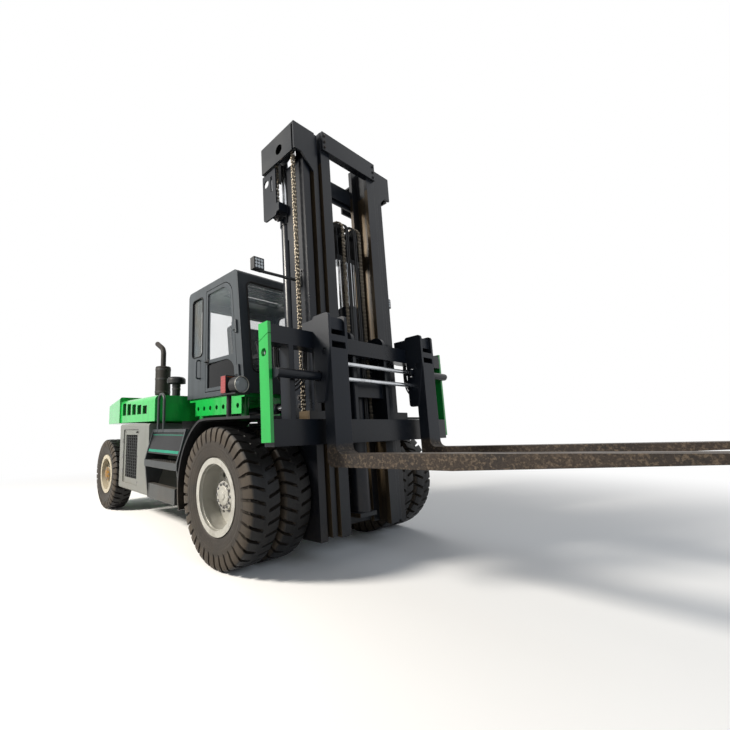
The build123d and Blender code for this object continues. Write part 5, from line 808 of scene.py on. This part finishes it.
class FORKLIFT_OT_chains(bpy.types.Operator):
    """Leaf chains over the mast's sheaves, plate by plate"""
    bl_idname = "forklift.chains"
    bl_label = "Leaf chains"

    def execute(self, context):
        sides = Form(MAST_FRAME)
        middle = Form(MAST_FRAME)
        for side in SIDES.values():
            self.run(sides, side * SHEAVE_Y, *SIDE_CHAIN)
            self.run(middle, side * HEAD_Y, *CENTRE_CHAIN)
        sides.piece("side_chain_links", "chain_steel", "mast_middle", "chain_steel",
                    replaced=("side_chains",))
        middle.piece("centre_chain_links", "chain_steel", "free_lift_rod", "chain_steel",
                     replaced=("centre_chains",))
        return {"FINISHED"}

    @staticmethod
    def run(form, y, u, w, radius, front_w, rear_w, width):
        """Links from the front end, over the sheave and down to the rear end."""
        bend = radius + CHAIN_T / 2
        front, arc, rear = w - front_w, math.pi * bend, w - rear_w
        length = front + arc + rear - 2 * LINK_END
        count = round(length / LINK_PITCH)
        pins = []
        for index in range(count + 1):
            way = LINK_END + index * length / count
            if way < front:
                pins.append(Vector((u + bend, y, front_w + way)))
            elif way < front + arc:
                turn = (way - front) / bend
                pins.append(Vector((u + bend * math.cos(turn), y, w + bend * math.sin(turn))))
            else:
                pins.append(Vector((u - bend, y, w - (way - front - arc))))
        spread = width / 2 - OUTER_PLATE_IN
        for index, (start, end) in enumerate(zip(pins, pins[1:])):
            shares = (-1, 0, 1) if index % 2 else (-0.5, 0.5)
            way = (end - start).normalized()
            side = Vector((way.z, 0, -way.x))
            outline = []
            for place, sense in ((end, 1), (start, -1)):
                for turn in LINK_TURNS:
                    outline.append(place + LINK_R * sense * (math.cos(turn) * way - math.sin(turn) * side))
                outline.append((start + end) / 2 + side * LINK_WAIST * sense)
            for share in shares:
                levels = [Vector((0, share * spread + thick, 0)) for thick in (-LINK_HALF_T, LINK_HALF_T)]
                form.skin([[point + level for point in outline] for level in levels])
            form.rod(start - Vector((0, width / 2, 0)), start + Vector((0, width / 2, 0)), PIN_R, 8)


# Hoses over the lift head: distances from the middle, radius, how far above the drum, and their end fittings
HEAD_HOSE_YS, HEAD_HOSE_R, HEAD_HOSE_LIFT = (0.046, 0.072), 0.0095, 0.010
HOSE_END = ((-0.030, 0.0125), (0.030, 0.0125), (0.034, 0.009))
# Loops behind the carriage: how much lower and how much wider at either side each hangs, and their radius
LOOPS, LOOP_HOSE_R = ((0.0, 0.026), (0.035, 0.046), (0.070, 0.066)), 0.008


class FORKLIFT_OT_hoses(bpy.types.Operator):
    """Hoses: pairs drawn tight over the lift head, and loops that hang behind the carriage"""
    bl_idname = "forklift.hoses"
    bl_label = "Hydraulic hoses"

    def execute(self, context):
        taut, fittings = Form(MAST_FRAME), Form(MAST_FRAME)
        bend = HEAD_R + HEAD_HOSE_LIFT
        front_w, rear_w = CENTRE_CHAIN[3:5]
        for side in (-1, 1):
            for inset in HEAD_HOSE_YS:
                y = side * inset
                route = [(HEAD_U + bend, y, front_w + (HEAD_W - front_w) * step / 6) for step in range(7)]
                route += [(HEAD_U + bend * math.cos(turn), y, HEAD_W + bend * math.sin(turn))
                          for turn in angles(24)[:13]]
                route += [(HEAD_U - bend, y, HEAD_W - (HEAD_W - rear_w) * step / 5) for step in range(1, 6)]
                taut.tube(route, HEAD_HOSE_R, 12)
                for u, w in ((HEAD_U + bend, front_w), (HEAD_U - bend, rear_w)):
                    fittings.turned((u, y, w), (0, 0, -1), HOSE_END, 12)
        taut.piece("lift_head_hoses", "hose", "free_lift_rod", "chain_steel")
        for name, side in SIDES.items():
            for index, (drop, out) in enumerate(LOOPS):
                self.loop(f"carriage_hose_{name}_{index + 1}", side, drop, out)
        fittings.piece("hose_fittings", "bolt_zinc", "free_lift_rod", "chain_steel")
        return {"FINISHED"}

    @staticmethod
    def loop(name, side, drop, out):
        """Hose that leaves the upper bar's back, hangs in a loop and goes back into the bar."""
        # u, distance from the middle and w of the curve's points
        route = ((0.382, 1.020 + out, 1.442), (0.362, 1.022 + out, 1.398), (0.345, 1.024 + out, 1.300),
                 (0.345, 1.020 + out, 1.150 - drop), (0.345, 0.965, 1.050 - drop),
                 (0.345, 0.905, 1.030 - drop), (0.345, 0.845, 1.050 - drop),
                 (0.345, 0.800 - out, 1.150 - drop), (0.345, 0.798 - out, 1.300),
                 (0.362, 0.800 - out, 1.398), (0.382, 0.802 - out, 1.442))
        curve = bpy.data.curves.new(name, "CURVE")
        curve.dimensions = "3D"
        spline = curve.splines.new("NURBS")
        spline.points.add(len(route) - 1)
        places = [MAST_FRAME @ Vector((u, side * y, w)) for u, y, w in route]
        for point, place in zip(spline.points, places):
            point.co = (*place, 1.0)
        spline.order_u = 3
        spline.use_endpoint_u = True
        curve.resolution_u = 8
        item = bpy.data.objects.new(name, curve)
        bpy.context.scene.collection.objects.link(item)
        line = bpy.data.meshes.new_from_object(item).vertices
        curve.bevel_depth = LOOP_HOSE_R
        curve.bevel_resolution = 4
        curve.use_fill_caps = True
        curve.materials.append(FINISHES["hose"])
        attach(item, "carriage")


# Anchor rods of the side chains, under their rear ends: u, lower and upper end, radius
ANCHOR_ROD_U, ANCHOR_ROD_WS, ANCHOR_ROD_R = SHEAVE_U - SHEAVE_R - CHAIN_T / 2, (2.760, 2.835), 0.013
# Rows of bolts on a side of the outer mast: u, distance from the middle, heights, way outward, across, height
OUTER_BOLTS = ((ANCHOR_ROD_U, SHEAVE_Y, (2.800, 2.826), (0, 0, -1), 0.040, 0.022),
               (-0.130, 0.640, (2.845, 2.875, 2.905), (-1, 0, 0), 0.022, 0.012),
               (0.210, 0.620, (2.10, 2.15), (0, 1, 0), 0.024, 0.012),
               (0.100, 0.620, (0.02, 0.10, 0.86, 0.94), (0, 1, 0), 0.030, 0.016))
# Sheave ears: outer face, then the keeper plate's thickness and how far its middle is ahead of the pin
EAR_FACE_Y, KEEPER_T, KEEPER_AHEAD = 0.7405, 0.008, 0.020
# Keeper plate's outline by turns and reaches, its bolts' ring and first turn
KEEPER = ((-2.0, 0.058), (-1.55, 0.128), (-1.25, 0.128), (-0.5, 0.062), (0.6, 0.060), (1.6, 0.060),
          (2.6, 0.058), (3.4, 0.052))
EAR_BOLT_RING, EAR_BOLT_TURN = 0.075, 0.78
# Cover of the sheave's pin and seat of the pin's bolt
SHEAVE_COVER_Y, SHEAVE_COVER = 0.750, ((-0.004, 0.050), (0.0, 0.050), (0.0, 0.042))
SHEAVE_PIN_Y = 0.7415
# Sizes of bolts, across and in height
PIN_BOLT, EAR_BOLT, CROSSHEAD_BOLT = (0.026, 0.008), (0.014, 0.007), (0.022, 0.012)
# Bolts in the front of the inner mast's crosshead
CROSSHEAD_BOLTS_U, CROSSHEAD_BOLTS_Y, CROSSHEAD_BOLTS_WS = 0.390, 0.388, (3.47, 3.53, 3.60)


class FORKLIFT_OT_mast_bolts(bpy.types.Operator):
    """Bolts, chain anchor rods, sheave covers and keeper plates of the three mast stages"""
    bl_idname = "forklift.mast_bolts"
    bl_label = "Mast bolts"

    def execute(self, context):
        outer, middle, inner = Form(MAST_FRAME), Form(MAST_FRAME), Form(MAST_FRAME)
        for side in SIDES.values():
            low, high = ((ANCHOR_ROD_U, side * SHEAVE_Y, w) for w in ANCHOR_ROD_WS)
            outer.rod(low, high, ANCHOR_ROD_R)
            for u, y, heights, way, across, height in OUTER_BOLTS:
                for w in heights:
                    outer.bolt((u, side * y, w), (way[0], side * way[1], way[2]), across, height)
            self.ear(middle, side)
            for w in CROSSHEAD_BOLTS_WS:
                inner.bolt((CROSSHEAD_BOLTS_U, side * CROSSHEAD_BOLTS_Y, w), (1, 0, 0), *CROSSHEAD_BOLT)
        outer.piece("outer_mast_bolts", "bolt_dark", "mast_outer", "mast_blue_grey")
        middle.piece("sheave_covers", "bolt_dark", "mast_middle", "mast_blue_grey")
        inner.piece("inner_mast_bolts", "bolt_dark", "mast_inner", "mast_blue_grey")
        return {"FINISHED"}

    @staticmethod
    def ear(form, side):
        """Cover of the sheave's pin, with its bolt, and the keeper plate behind it with four bolts."""
        out = (0, side, 0)
        form.turned((SHEAVE_U, side * SHEAVE_COVER_Y, SHEAVE_W), out, SHEAVE_COVER, 32)
        form.bolt((SHEAVE_U, side * SHEAVE_PIN_Y, SHEAVE_W), out, *PIN_BOLT)
        keeper = [(SHEAVE_U + KEEPER_AHEAD + reach * math.cos(turn), SHEAVE_W + reach * math.sin(turn))
                  for turn, reach in KEEPER]
        form.plate(keeper, side * EAR_FACE_Y, side * (EAR_FACE_Y + KEEPER_T), "y")
        for turn in angles(4):
            u = SHEAVE_U + EAR_BOLT_RING * math.cos(turn + EAR_BOLT_TURN)
            w = SHEAVE_W + EAR_BOLT_RING * math.sin(turn + EAR_BOLT_TURN)
            form.bolt((u, side * EAR_FACE_Y, w), out, *EAR_BOLT)


# Headlamp: middle of its face, depth of the lens's foot behind it, and the lens's profile
HEADLAMP, LENS_DEPTH = (0.205, 1.100, 1.615), 0.011
HEADLAMP_LENS = ((0, 0.0665), (0.005, 0.0665), (0.009, 0.058), (0.012, 0.036), (0.013, 0.012))
# Its bezel: how far ahead of the face, radius of the ring, and of the wire
BEZEL_AHEAD, BEZEL_RING, BEZEL_R = 0.001, 0.073, 0.005
# Opposite corners of the red signal lens and of the amber edge over it
RED_LENS = ((-0.026, 1.167, 1.546), (0.056, 1.184, 1.704))
AMBER_EDGE = ((0.049, 1.034, 1.6945), (0.0585, 1.166, 1.6990))
# Work lamp: middle of its face, distance between its nine small lenses and their profile
WORK_LAMP, WORK_LENS_STEP = (0.0305, 0.985, 2.200), 0.032
WORK_LENS = ((0, 0.0148), (0.003, 0.0148), (0.006, 0.009), (0.007, 0.003))
# Ribs of the signal lenses: how far short of the block in x, how far out in y, half height in steps
RIB_INSET, RIB_HEIGHT, RIB_SHARE = 0.004, 0.0008, 0.3


class FORKLIFT_OT_lamps(bpy.types.Operator):
    """Lenses and bezels of the headlamps, signal lamps and work lamps"""
    bl_idname = "forklift.lamps"
    bl_label = "Lamps"

    def execute(self, context):
        clear, red, amber, bezel, work = Form(), Form(), Form(), Form(), Form(MAST_FRAME)
        for side in SIDES.values():
            x, y, z = HEADLAMP
            face = truck(x, side * y, z)
            clear.turned(face - Vector((LENS_DEPTH, 0, 0)), (1, 0, 0), HEADLAMP_LENS, 40)
            ring = [face + Vector((BEZEL_AHEAD, BEZEL_RING * math.cos(turn), BEZEL_RING * math.sin(turn)))
                    for turn in angles(48)]
            bezel.tube(ring, BEZEL_R, 8, looped=True)
            for form, corners in ((red, RED_LENS), (amber, AMBER_EDGE)):
                self.ribbed(form, *(truck(x, side * y, z) for x, y, z in corners))
        clear.piece("headlamp_lenses", "lens_clear", "root", "lamp_housing")
        bezel.piece("headlamp_bezels", "rim_silver", "root", "lamp_housing")
        red.piece("signal_lenses", "lens_red", "root", "lamp_housing")
        amber.piece("signal_edges", "lens_amber", "root", "lamp_housing")
        for side in SIDES.values():
            for column in (-1, 0, 1):
                for row in (-1, 0, 1):
                    u, y, w = WORK_LAMP
                    place = (u, side * y + column * WORK_LENS_STEP, w + row * WORK_LENS_STEP)
                    work.turned(place, (1, 0, 0), WORK_LENS, 16)
        work.piece("work_lamp_lenses", "lens_work", "mast_outer", "lamp_housing")
        return {"FINISHED"}

    @staticmethod
    def ribbed(form, low, high, count=6):
        """Lens block with level ribs round it."""
        low, high = Vector(map(min, low, high)), Vector(map(max, low, high))
        form.box(low, high)
        step = (high.z - low.z) / count
        inset = Vector((RIB_INSET, -RIB_HEIGHT, 0))
        for index in range(count):
            middle = low.z + (index + 0.5) * step
            start, end = low + inset, high - inset
            start.z, end.z = middle - step * RIB_SHARE, middle + step * RIB_SHARE
            form.box(start, end)


# Windows: opposite corners and radius of the seal's line, on the side (x, z), front and rear (y, z)
QUARTER_WINDOW = ((-1.560, 2.130), (-1.275, 2.905), 0.060)
FRONT_WINDOW = ((-0.610, 1.840), (0.610, 2.900), 0.070)
REAR_WINDOW = ((-0.560, 2.030), (0.560, 2.860), 0.070)
CAB_SIDE_Y, CAB_REAR_X, GLASS_STEP = 0.728, -1.681, 0.002
SEAL_R, QUARTER_SEAL_R, QUARTER_SEAL_FLAT = 0.012, 0.011, 0.5
# Foot and head of the cab's leaning front, as pairs of x and z
FRONT_FOOT, FRONT_HEAD = (-0.315, 1.600), (-0.480, 3.030)
# Door handle: opposite corners of its plate (x, z), half the plate's thickness, lever's x and reach outward
HANDLE_PLATE, HANDLE_HALF_T = ((-1.165, 2.000), (-1.105, 2.070)), 0.004
HANDLE_Y, HANDLE_Z, HANDLE_R = 0.734, 2.030, 0.009
HANDLE = ((-1.150, 0.0), (-1.148, 0.030), (-1.130, 0.038), (-1.060, 0.036), (-1.050, 0.030))
# Knob of the steering wheel, with its line and its profile
WHEEL_KNOB, WHEEL_KNOB_WAY = (-0.800, 0.130, 2.262), (0.5, 0, 0.86)
WHEEL_KNOB_PROFILE = ((0, 0.008), (0.030, 0.008), (0.034, 0.018), (0.052, 0.024), (0.070, 0.018),
                      (0.076, 0.006))
# Control levers: how many, foot of the first, step to the next, how far back and up each reaches
LEVERS, LEVER_FOOT, LEVER_STEP_Y, LEVER_BACK, LEVER_TOP_Z = 4, (-0.560, -0.215, 2.080), -0.055, 0.020, 2.205
LEVER_R, LEVER_WAY, KNOB_DOWN = 0.006, (-0.16, 0, 1), 0.005
LEVER_KNOB = ((0, 0.010), (0.014, 0.017), (0.034, 0.017), (0.046, 0.008))
# Their box, and the post under it
LEVER_BOX = ((-0.640, -0.420, 2.030), (-0.500, -0.180, 2.080))
LEVER_POST, LEVER_POST_R = ((-0.570, -0.300, 1.640), (-0.570, -0.300, 2.040)), 0.022


class FORKLIFT_OT_cab_trim(bpy.types.Operator):
    """Window gaskets, door handles, lever knobs and the wheel's knob"""
    bl_idname = "forklift.cab_trim"
    bl_label = "Cab trim"

    def execute(self, context):
        self.gaskets()
        for name, side in SIDES.items():
            self.door_handle(name, side)
        self.levers()
        return {"FINISHED"}

    def gaskets(self):
        """Rubber round the quarter windows, the windscreen and the rear window."""
        seals = Form()
        for side in SIDES.values():
            line = [truck(x, side * CAB_SIDE_Y, z) for x, z in rounded(*QUARTER_WINDOW)]
            seals.tube(line, QUARTER_SEAL_R, 8, looped=True, flat=QUARTER_SEAL_FLAT)
        front = [truck(self.front_x(z) + GLASS_STEP, y, z) for y, z in rounded(*FRONT_WINDOW)]
        rear = [truck(CAB_REAR_X, y, z) for y, z in rounded(*REAR_WINDOW)]
        for line in (front, rear):
            seals.tube(line, SEAL_R, 8, looped=True)
        seals.piece("window_gaskets", "gasket", "root", "console_plastic")

    @staticmethod
    def front_x(z):
        """Where the cab's front stands at a height."""
        share = (z - FRONT_FOOT[1]) / (FRONT_HEAD[1] - FRONT_FOOT[1])
        return FRONT_FOOT[0] + share * (FRONT_HEAD[0] - FRONT_FOOT[0])

    @staticmethod
    def door_handle(name, side):
        """Pull lever on its plate."""
        handle = Form()
        (low_x, low_z), (high_x, high_z) = HANDLE_PLATE
        face = side * CAB_SIDE_Y
        handle.box(truck(low_x, face - HANDLE_HALF_T, low_z), truck(high_x, face + HANDLE_HALF_T, high_z))
        handle.tube([truck(x, side * (HANDLE_Y + out), HANDLE_Z) for x, out in HANDLE], HANDLE_R, 10)
        handle.piece(f"door_handle_{name}", "knob_black", f"door_{name}", "console_plastic", bevel=0.0015)

    @staticmethod
    def levers():
        """Spinner knob on the steering wheel, and the control levers on their post."""
        knobs = Form()
        knobs.turned(truck(*WHEEL_KNOB), WHEEL_KNOB_WAY, WHEEL_KNOB_PROFILE, 20)
        x, first_y, z = LEVER_FOOT
        for index in range(LEVERS):
            y = first_y + LEVER_STEP_Y * index
            top_x = x - LEVER_BACK
            knobs.rod(truck(x, y, z), truck(top_x, y, LEVER_TOP_Z), LEVER_R, 10)
            knobs.turned(truck(top_x, y, LEVER_TOP_Z - KNOB_DOWN), LEVER_WAY, LEVER_KNOB, 16)
        knobs.box(*(truck(*corner) for corner in LEVER_BOX))
        knobs.rod(*(truck(*end) for end in LEVER_POST), LEVER_POST_R, 16)
        knobs.piece("control_levers", "knob_black", "root", "console_plastic", bevel=0.002)


# Treads of the ladder: distance from the middle, height, half width, rows of studs
TREADS = ((1.070, 0.850, 0.120, 4), (0.930, 1.222, 0.160, 5))
STUD_X, STUD_STEP_X, STUD_COLUMNS, STUD_INSET, STUD_STEP_Y = -1.830, 0.066, 14, 0.032, 0.058
STUD = ((0, 0.013), (0.004, 0.011), (0.004, 0.006))
# Access door: hinges' heights, then the pin's line, radius and half length
HINGE_ZS, PIN_X, PIN_Y, HINGE_PIN_R, PIN_HALF = (0.640, 0.850, 1.060), -2.866, 1.143, 0.0065, 0.035
# Hinge's leaf: rear edge, face, half thickness, half height, then its bolts' line, face and offset in height
LEAF_X, LEAF_Y, LEAF_HALF_T, LEAF_HALF = -2.905, 1.1505, 0.002, 0.030
LEAF_BOLT_X, LEAF_BOLT_Y, LEAF_BOLT_UP = -2.888, 1.151, 0.018
# Sizes of bolts, across and in height
LEAF_BOLT, PANEL_BOLT, CLAMP_BOLT = (0.010, 0.005), (0.014, 0.006), (0.014, 0.012)
# Bolts round the mesh panel: columns, rows and face
PANEL_BOLT_XS, PANEL_BOLT_ZS, PANEL_BOLT_Y = (-2.815, -2.305), (0.520, 0.855, 1.190), 1.136
# Clamps of the muffler and of the air intake: the pipe's x and y, its radius, the clamps' heights
CLAMPS = (((-2.830, -0.600), 0.1155, (1.800, 2.000, 2.150)), ((-2.100, -0.700), 0.0560, (1.780, 1.830)))
CLAMP_HALF, CLAMP_T = 0.014, 0.003
# Blank plate above the steps: y and z of its upper and lower edge, thickness, ends; its strips' places down
# the plate as a share and their heights, thickness and ends
PLATE_TOP, PLATE_LOW, PLATE_T, PLATE_XS = (1.092, 1.176), (1.166, 0.930), 0.006, (-1.853, -0.947)
STRIPS, STRIP_T, STRIP_XS = ((0.08, 0.006), (0.80, 0.030)), 0.0015, (-1.835, -0.965)
# Screen behind the side vents: ends, heights, face and half thickness
SCREEN_XS, SCREEN_ZS, SCREEN_Y, SCREEN_HALF_T = (-3.030, -1.960), (1.405, 1.635), 1.0925, 0.002
# Its slats: number, first x, step, width, face, half thickness and how much shorter at either end
SLATS, SLAT_X, SLAT_STEP, SLAT_WIDE = 34, -3.010, 0.031, 0.012
SLAT_Y, SLAT_HALF_T, SLAT_SHORT = 1.0955, 0.001, 0.005


class FORKLIFT_OT_body_trim(bpy.types.Operator):
    """Blank plates and studs of the steps, vent screens, access door hinges, exhaust and intake clamps"""
    bl_idname = "forklift.body_trim"
    bl_label = "Body trim"

    def execute(self, context):
        plates, strips, screens, studs, hinges = Form(), Form(), Form(), Form(), Form()
        for side in SIDES.values():
            self.ladder_plate(plates, strips, side)
            self.vent_screen(screens, side)
            self.tread_studs(studs, side)
            self.tank_fittings(hinges, side)
        plates.piece("ladder_plates", "plate_black", "root", "frame_black", bevel=0.002)
        strips.piece("ladder_plate_strips", "strip_teal", "root", "green_paint")
        screens.piece("vent_screens", "gasket", "root", "frame_black")
        studs.piece("tread_studs", "frame_black", "root", "frame_black")
        hinges.piece("access_door_hinges", "bolt_zinc", "root", "grey_paint")
        self.clamps().piece("exhaust_clamps", "bolt_dark", "root", "exhaust_black")
        return {"FINISHED"}

    @staticmethod
    def ladder_plate(plates, strips, side):
        """Leaning plate above the steps, with a thin and a wide strip on it."""
        (top_y, top_z), (low_y, low_z) = PLATE_TOP, PLATE_LOW

        def slab(form, high, low, thick, ends):
            outline = ((side * high[0], high[1]), (side * (high[0] + thick), high[1]),
                       (side * (low[0] + thick), low[1]), (side * low[0], low[1]))
            form.plate(outline, *(truck(x, 0, 0).x for x in ends), "x")

        slab(plates, PLATE_TOP, PLATE_LOW, PLATE_T, PLATE_XS)
        for share, height in STRIPS:
            y, z = top_y + (low_y - top_y) * share + PLATE_T, top_z + (low_z - top_z) * share
            low = y + height * (low_y - top_y) / (top_z - low_z)
            slab(strips, (y, z), (low, z - height), STRIP_T, STRIP_XS)

    @staticmethod
    def vent_screen(form, side):
        """Dark slatted screen behind the slots of a side."""
        (start, end), (low, high) = SCREEN_XS, SCREEN_ZS
        face = side * SCREEN_Y
        form.box(truck(start, face - SCREEN_HALF_T, low), truck(end, face + SCREEN_HALF_T, high))
        face = side * SLAT_Y
        for column in range(SLATS):
            x = SLAT_X + column * SLAT_STEP
            form.box(truck(x, face - SLAT_HALF_T, low + SLAT_SHORT),
                     truck(x + SLAT_WIDE, face + SLAT_HALF_T, high - SLAT_SHORT))

    @staticmethod
    def tread_studs(form, side):
        """Punched studs on the treads."""
        for y, z, half, rows in TREADS:
            for column in range(STUD_COLUMNS):
                for row in range(rows):
                    out = y - half + STUD_INSET + row * STUD_STEP_Y
                    form.turned(truck(STUD_X + column * STUD_STEP_X, side * out, z), (0, 0, 1), STUD, 10)

    @staticmethod
    def tank_fittings(form, side):
        """Hinges of the access door, and the bolts round its mesh panel."""
        out, face = (0, side, 0), side * LEAF_Y
        for z in HINGE_ZS:
            form.rod(truck(PIN_X, side * PIN_Y, z - PIN_HALF), truck(PIN_X, side * PIN_Y, z + PIN_HALF),
                     HINGE_PIN_R, 12)
            form.box(truck(LEAF_X, face - LEAF_HALF_T, z - LEAF_HALF),
                     truck(PIN_X, face + LEAF_HALF_T, z + LEAF_HALF))
            for level in (z - LEAF_BOLT_UP, z + LEAF_BOLT_UP):
                form.bolt(truck(LEAF_BOLT_X, side * LEAF_BOLT_Y, level), out, *LEAF_BOLT)
        for x in PANEL_BOLT_XS:
            for z in PANEL_BOLT_ZS:
                form.bolt(truck(x, side * PANEL_BOLT_Y, z), out, *PANEL_BOLT)

    @staticmethod
    def clamps():
        """Bands with a bolt round the muffler and the air intake."""
        form = Form()
        for (x, y), radius, heights in CLAMPS:
            outer = radius + CLAMP_T
            band = ((-CLAMP_HALF, radius), (-CLAMP_HALF, outer), (CLAMP_HALF, outer), (CLAMP_HALF, radius))
            for z in heights:
                place = truck(x, y, z)
                form.turned(place, (0, 0, 1), band, 40)
                form.bolt(place + Vector((outer, 0, 0)), (1, 0, 0), *CLAMP_BOLT)
        return form


class FORKLIFT_OT_stage(bpy.types.Operator):
    """Floor, soft light and the camera of the picture"""
    bl_idname = "forklift.stage"
    bl_label = "Stage and camera"

    def execute(self, context):
        settings = context.scene.forklift_stage
        self.floor(settings.floor)
        self.world(context.scene)
        self.lamps(context.scene)
        self.camera(context.scene, settings)
        context.scene.view_settings.view_transform = "Standard"
        return {"FINISHED"}

    @staticmethod
    def floor(radius):
        """Pale floor that keeps the truck's shadow and fades to white far away."""
        mesh = bpy.data.meshes.new("floor")
        shape = bmesh.new()
        bmesh.ops.create_circle(shape, cap_ends=True, segments=96, radius=radius)
        shape.to_mesh(mesh)
        shape.free()
        floor = bpy.data.objects.new("floor", mesh)
        bpy.context.scene.collection.objects.link(floor)
        shader = Shader("floor_pale")
        away = shader.node("ShaderNodeVectorMath", {"operation": "LENGTH"}, {0: shader.point}).out("Value")
        looked_at = shader.looked_at()
        seen, returned = (shader.node("ShaderNodeBsdfDiffuse", None, {"Color": (grey, grey, grey, 1)}).out()
                          for grey in (FLOOR_SEEN, FLOOR_RETURNED))
        matt = shader.node("ShaderNodeMixShader", None, {0: looked_at, 1: returned, 2: seen}).out()
        white = shader.node("ShaderNodeEmission", None, {"Color": (1, 1, 1, 1), "Strength": 1.0}).out()
        share = away.above(FADE_AT, FADE_WIDTH) * looked_at
        both = shader.node("ShaderNodeMixShader", None, {0: share, 1: matt, 2: white}).out()
        mesh.materials.append(shader.surface(both))

    @staticmethod
    def world(scene):
        """White where the camera, metal or glass looks at it, and a plain dimmer white as a light."""
        world = bpy.data.worlds.new("studio")
        scene.world = world
        world.use_nodes = True
        nodes = Nodes(world.node_tree)
        inputs = {"Value": nodes.looked_at(), "To Min": WORLD_LIGHT, "To Max": 1.0}
        strength = nodes.node("ShaderNodeMapRange", None, inputs).out()
        back = nodes.node("ShaderNodeBackground", None, {"Color": (1, 1, 1, 1), "Strength": strength}).out()
        nodes.node("ShaderNodeOutputWorld", None, {"Surface": back})

    @staticmethod
    def lamps(scene):
        """A warm key from high on the right, a fill from the rear left and a cool one from the front."""
        table = (("key", (-3.2, -8.6, 6.4), 1.8, 1700.0, (1.0, 0.94, 0.85)),
                 ("fill", (-6.0, 6.0, 8.0), 6.0, 220.0, (1.0, 1.0, 1.0)),
                 ("front", (9.0, 0.0, 5.5), 5.0, 200.0, (0.74, 0.86, 1.0)))
        for name, place, size, power, colour in table:
            data = bpy.data.lights.new(name, "AREA")
            data.size = size
            data.energy = power
            data.color = colour
            lamp = bpy.data.objects.new(name, data)
            lamp.location = place
            lamp.rotation_mode = "QUATERNION"
            lamp.rotation_quaternion = (Vector(LOOK_AT) - Vector(place)).to_track_quat("-Z", "Y")
            scene.collection.objects.link(lamp)

    @staticmethod
    def camera(scene, settings):
        """Camera at the picture's place, as turned as it was, with the picture's off-centre crop."""
        azimuth, elevation, roll = settings.azimuth, settings.elevation, settings.roll
        back = Vector((math.sin(azimuth) * math.cos(elevation), -math.cos(azimuth) * math.cos(elevation),
                       math.sin(elevation)))
        right = Vector((math.cos(azimuth), math.sin(azimuth), 0.0))
        up = back.cross(right)
        turned_right = math.cos(roll) * right + math.sin(roll) * up
        turned_up = -math.sin(roll) * right + math.cos(roll) * up
        data = bpy.data.cameras.new("camera")
        data.lens = settings.lens
        data.sensor_width = 36.0
        data.shift_x, data.shift_y = (pixels / PICTURE for pixels in CROP)
        data.clip_start, data.clip_end = 0.05, 300.0
        camera = bpy.data.objects.new("camera", data)
        turn = Matrix((turned_right, turned_up, back)).transposed().to_4x4()
        camera.matrix_world = Matrix.Translation(Vector(settings.eye)) @ turn
        scene.collection.objects.link(camera)
        scene.camera = camera


class FORKLIFT_PT_dressing(bpy.types.Panel):
    """Lists the steps and their settings"""
    bl_label = "Forklift"
    bl_space_type = "VIEW_3D"
    bl_region_type = "UI"
    bl_category = "Forklift"

    def draw(self, context):
        for operator in OPERATORS:
            self.layout.operator(operator.bl_idname)
        for settings in (context.scene.forklift_looks, context.scene.forklift_stage):
            for key in settings.__annotations__:
                self.layout.prop(settings, key)


OPERATORS = (FORKLIFT_OT_stage, FORKLIFT_OT_paint, FORKLIFT_OT_drive_tyres, FORKLIFT_OT_steer_tyres,
             FORKLIFT_OT_wheel_hubs, FORKLIFT_OT_chains, FORKLIFT_OT_hoses, FORKLIFT_OT_mast_bolts,
             FORKLIFT_OT_lamps, FORKLIFT_OT_cab_trim, FORKLIFT_OT_body_trim)
CLASSES = (ForkliftLooks, ForkliftStage, *OPERATORS, FORKLIFT_PT_dressing)


def register():
    for item in CLASSES:
        bpy.utils.register_class(item)
    bpy.types.Scene.forklift_looks = bpy.props.PointerProperty(type=ForkliftLooks)
    bpy.types.Scene.forklift_stage = bpy.props.PointerProperty(type=ForkliftStage)


def unregister():
    del bpy.types.Scene.forklift_stage
    del bpy.types.Scene.forklift_looks
    for item in reversed(CLASSES):
        bpy.utils.unregister_class(item)


def main():
    register()
    for operator in OPERATORS:
        group, name = operator.bl_idname.split(".")
        getattr(getattr(bpy.ops, group), name)()


if __name__ == "__main__":
    main()
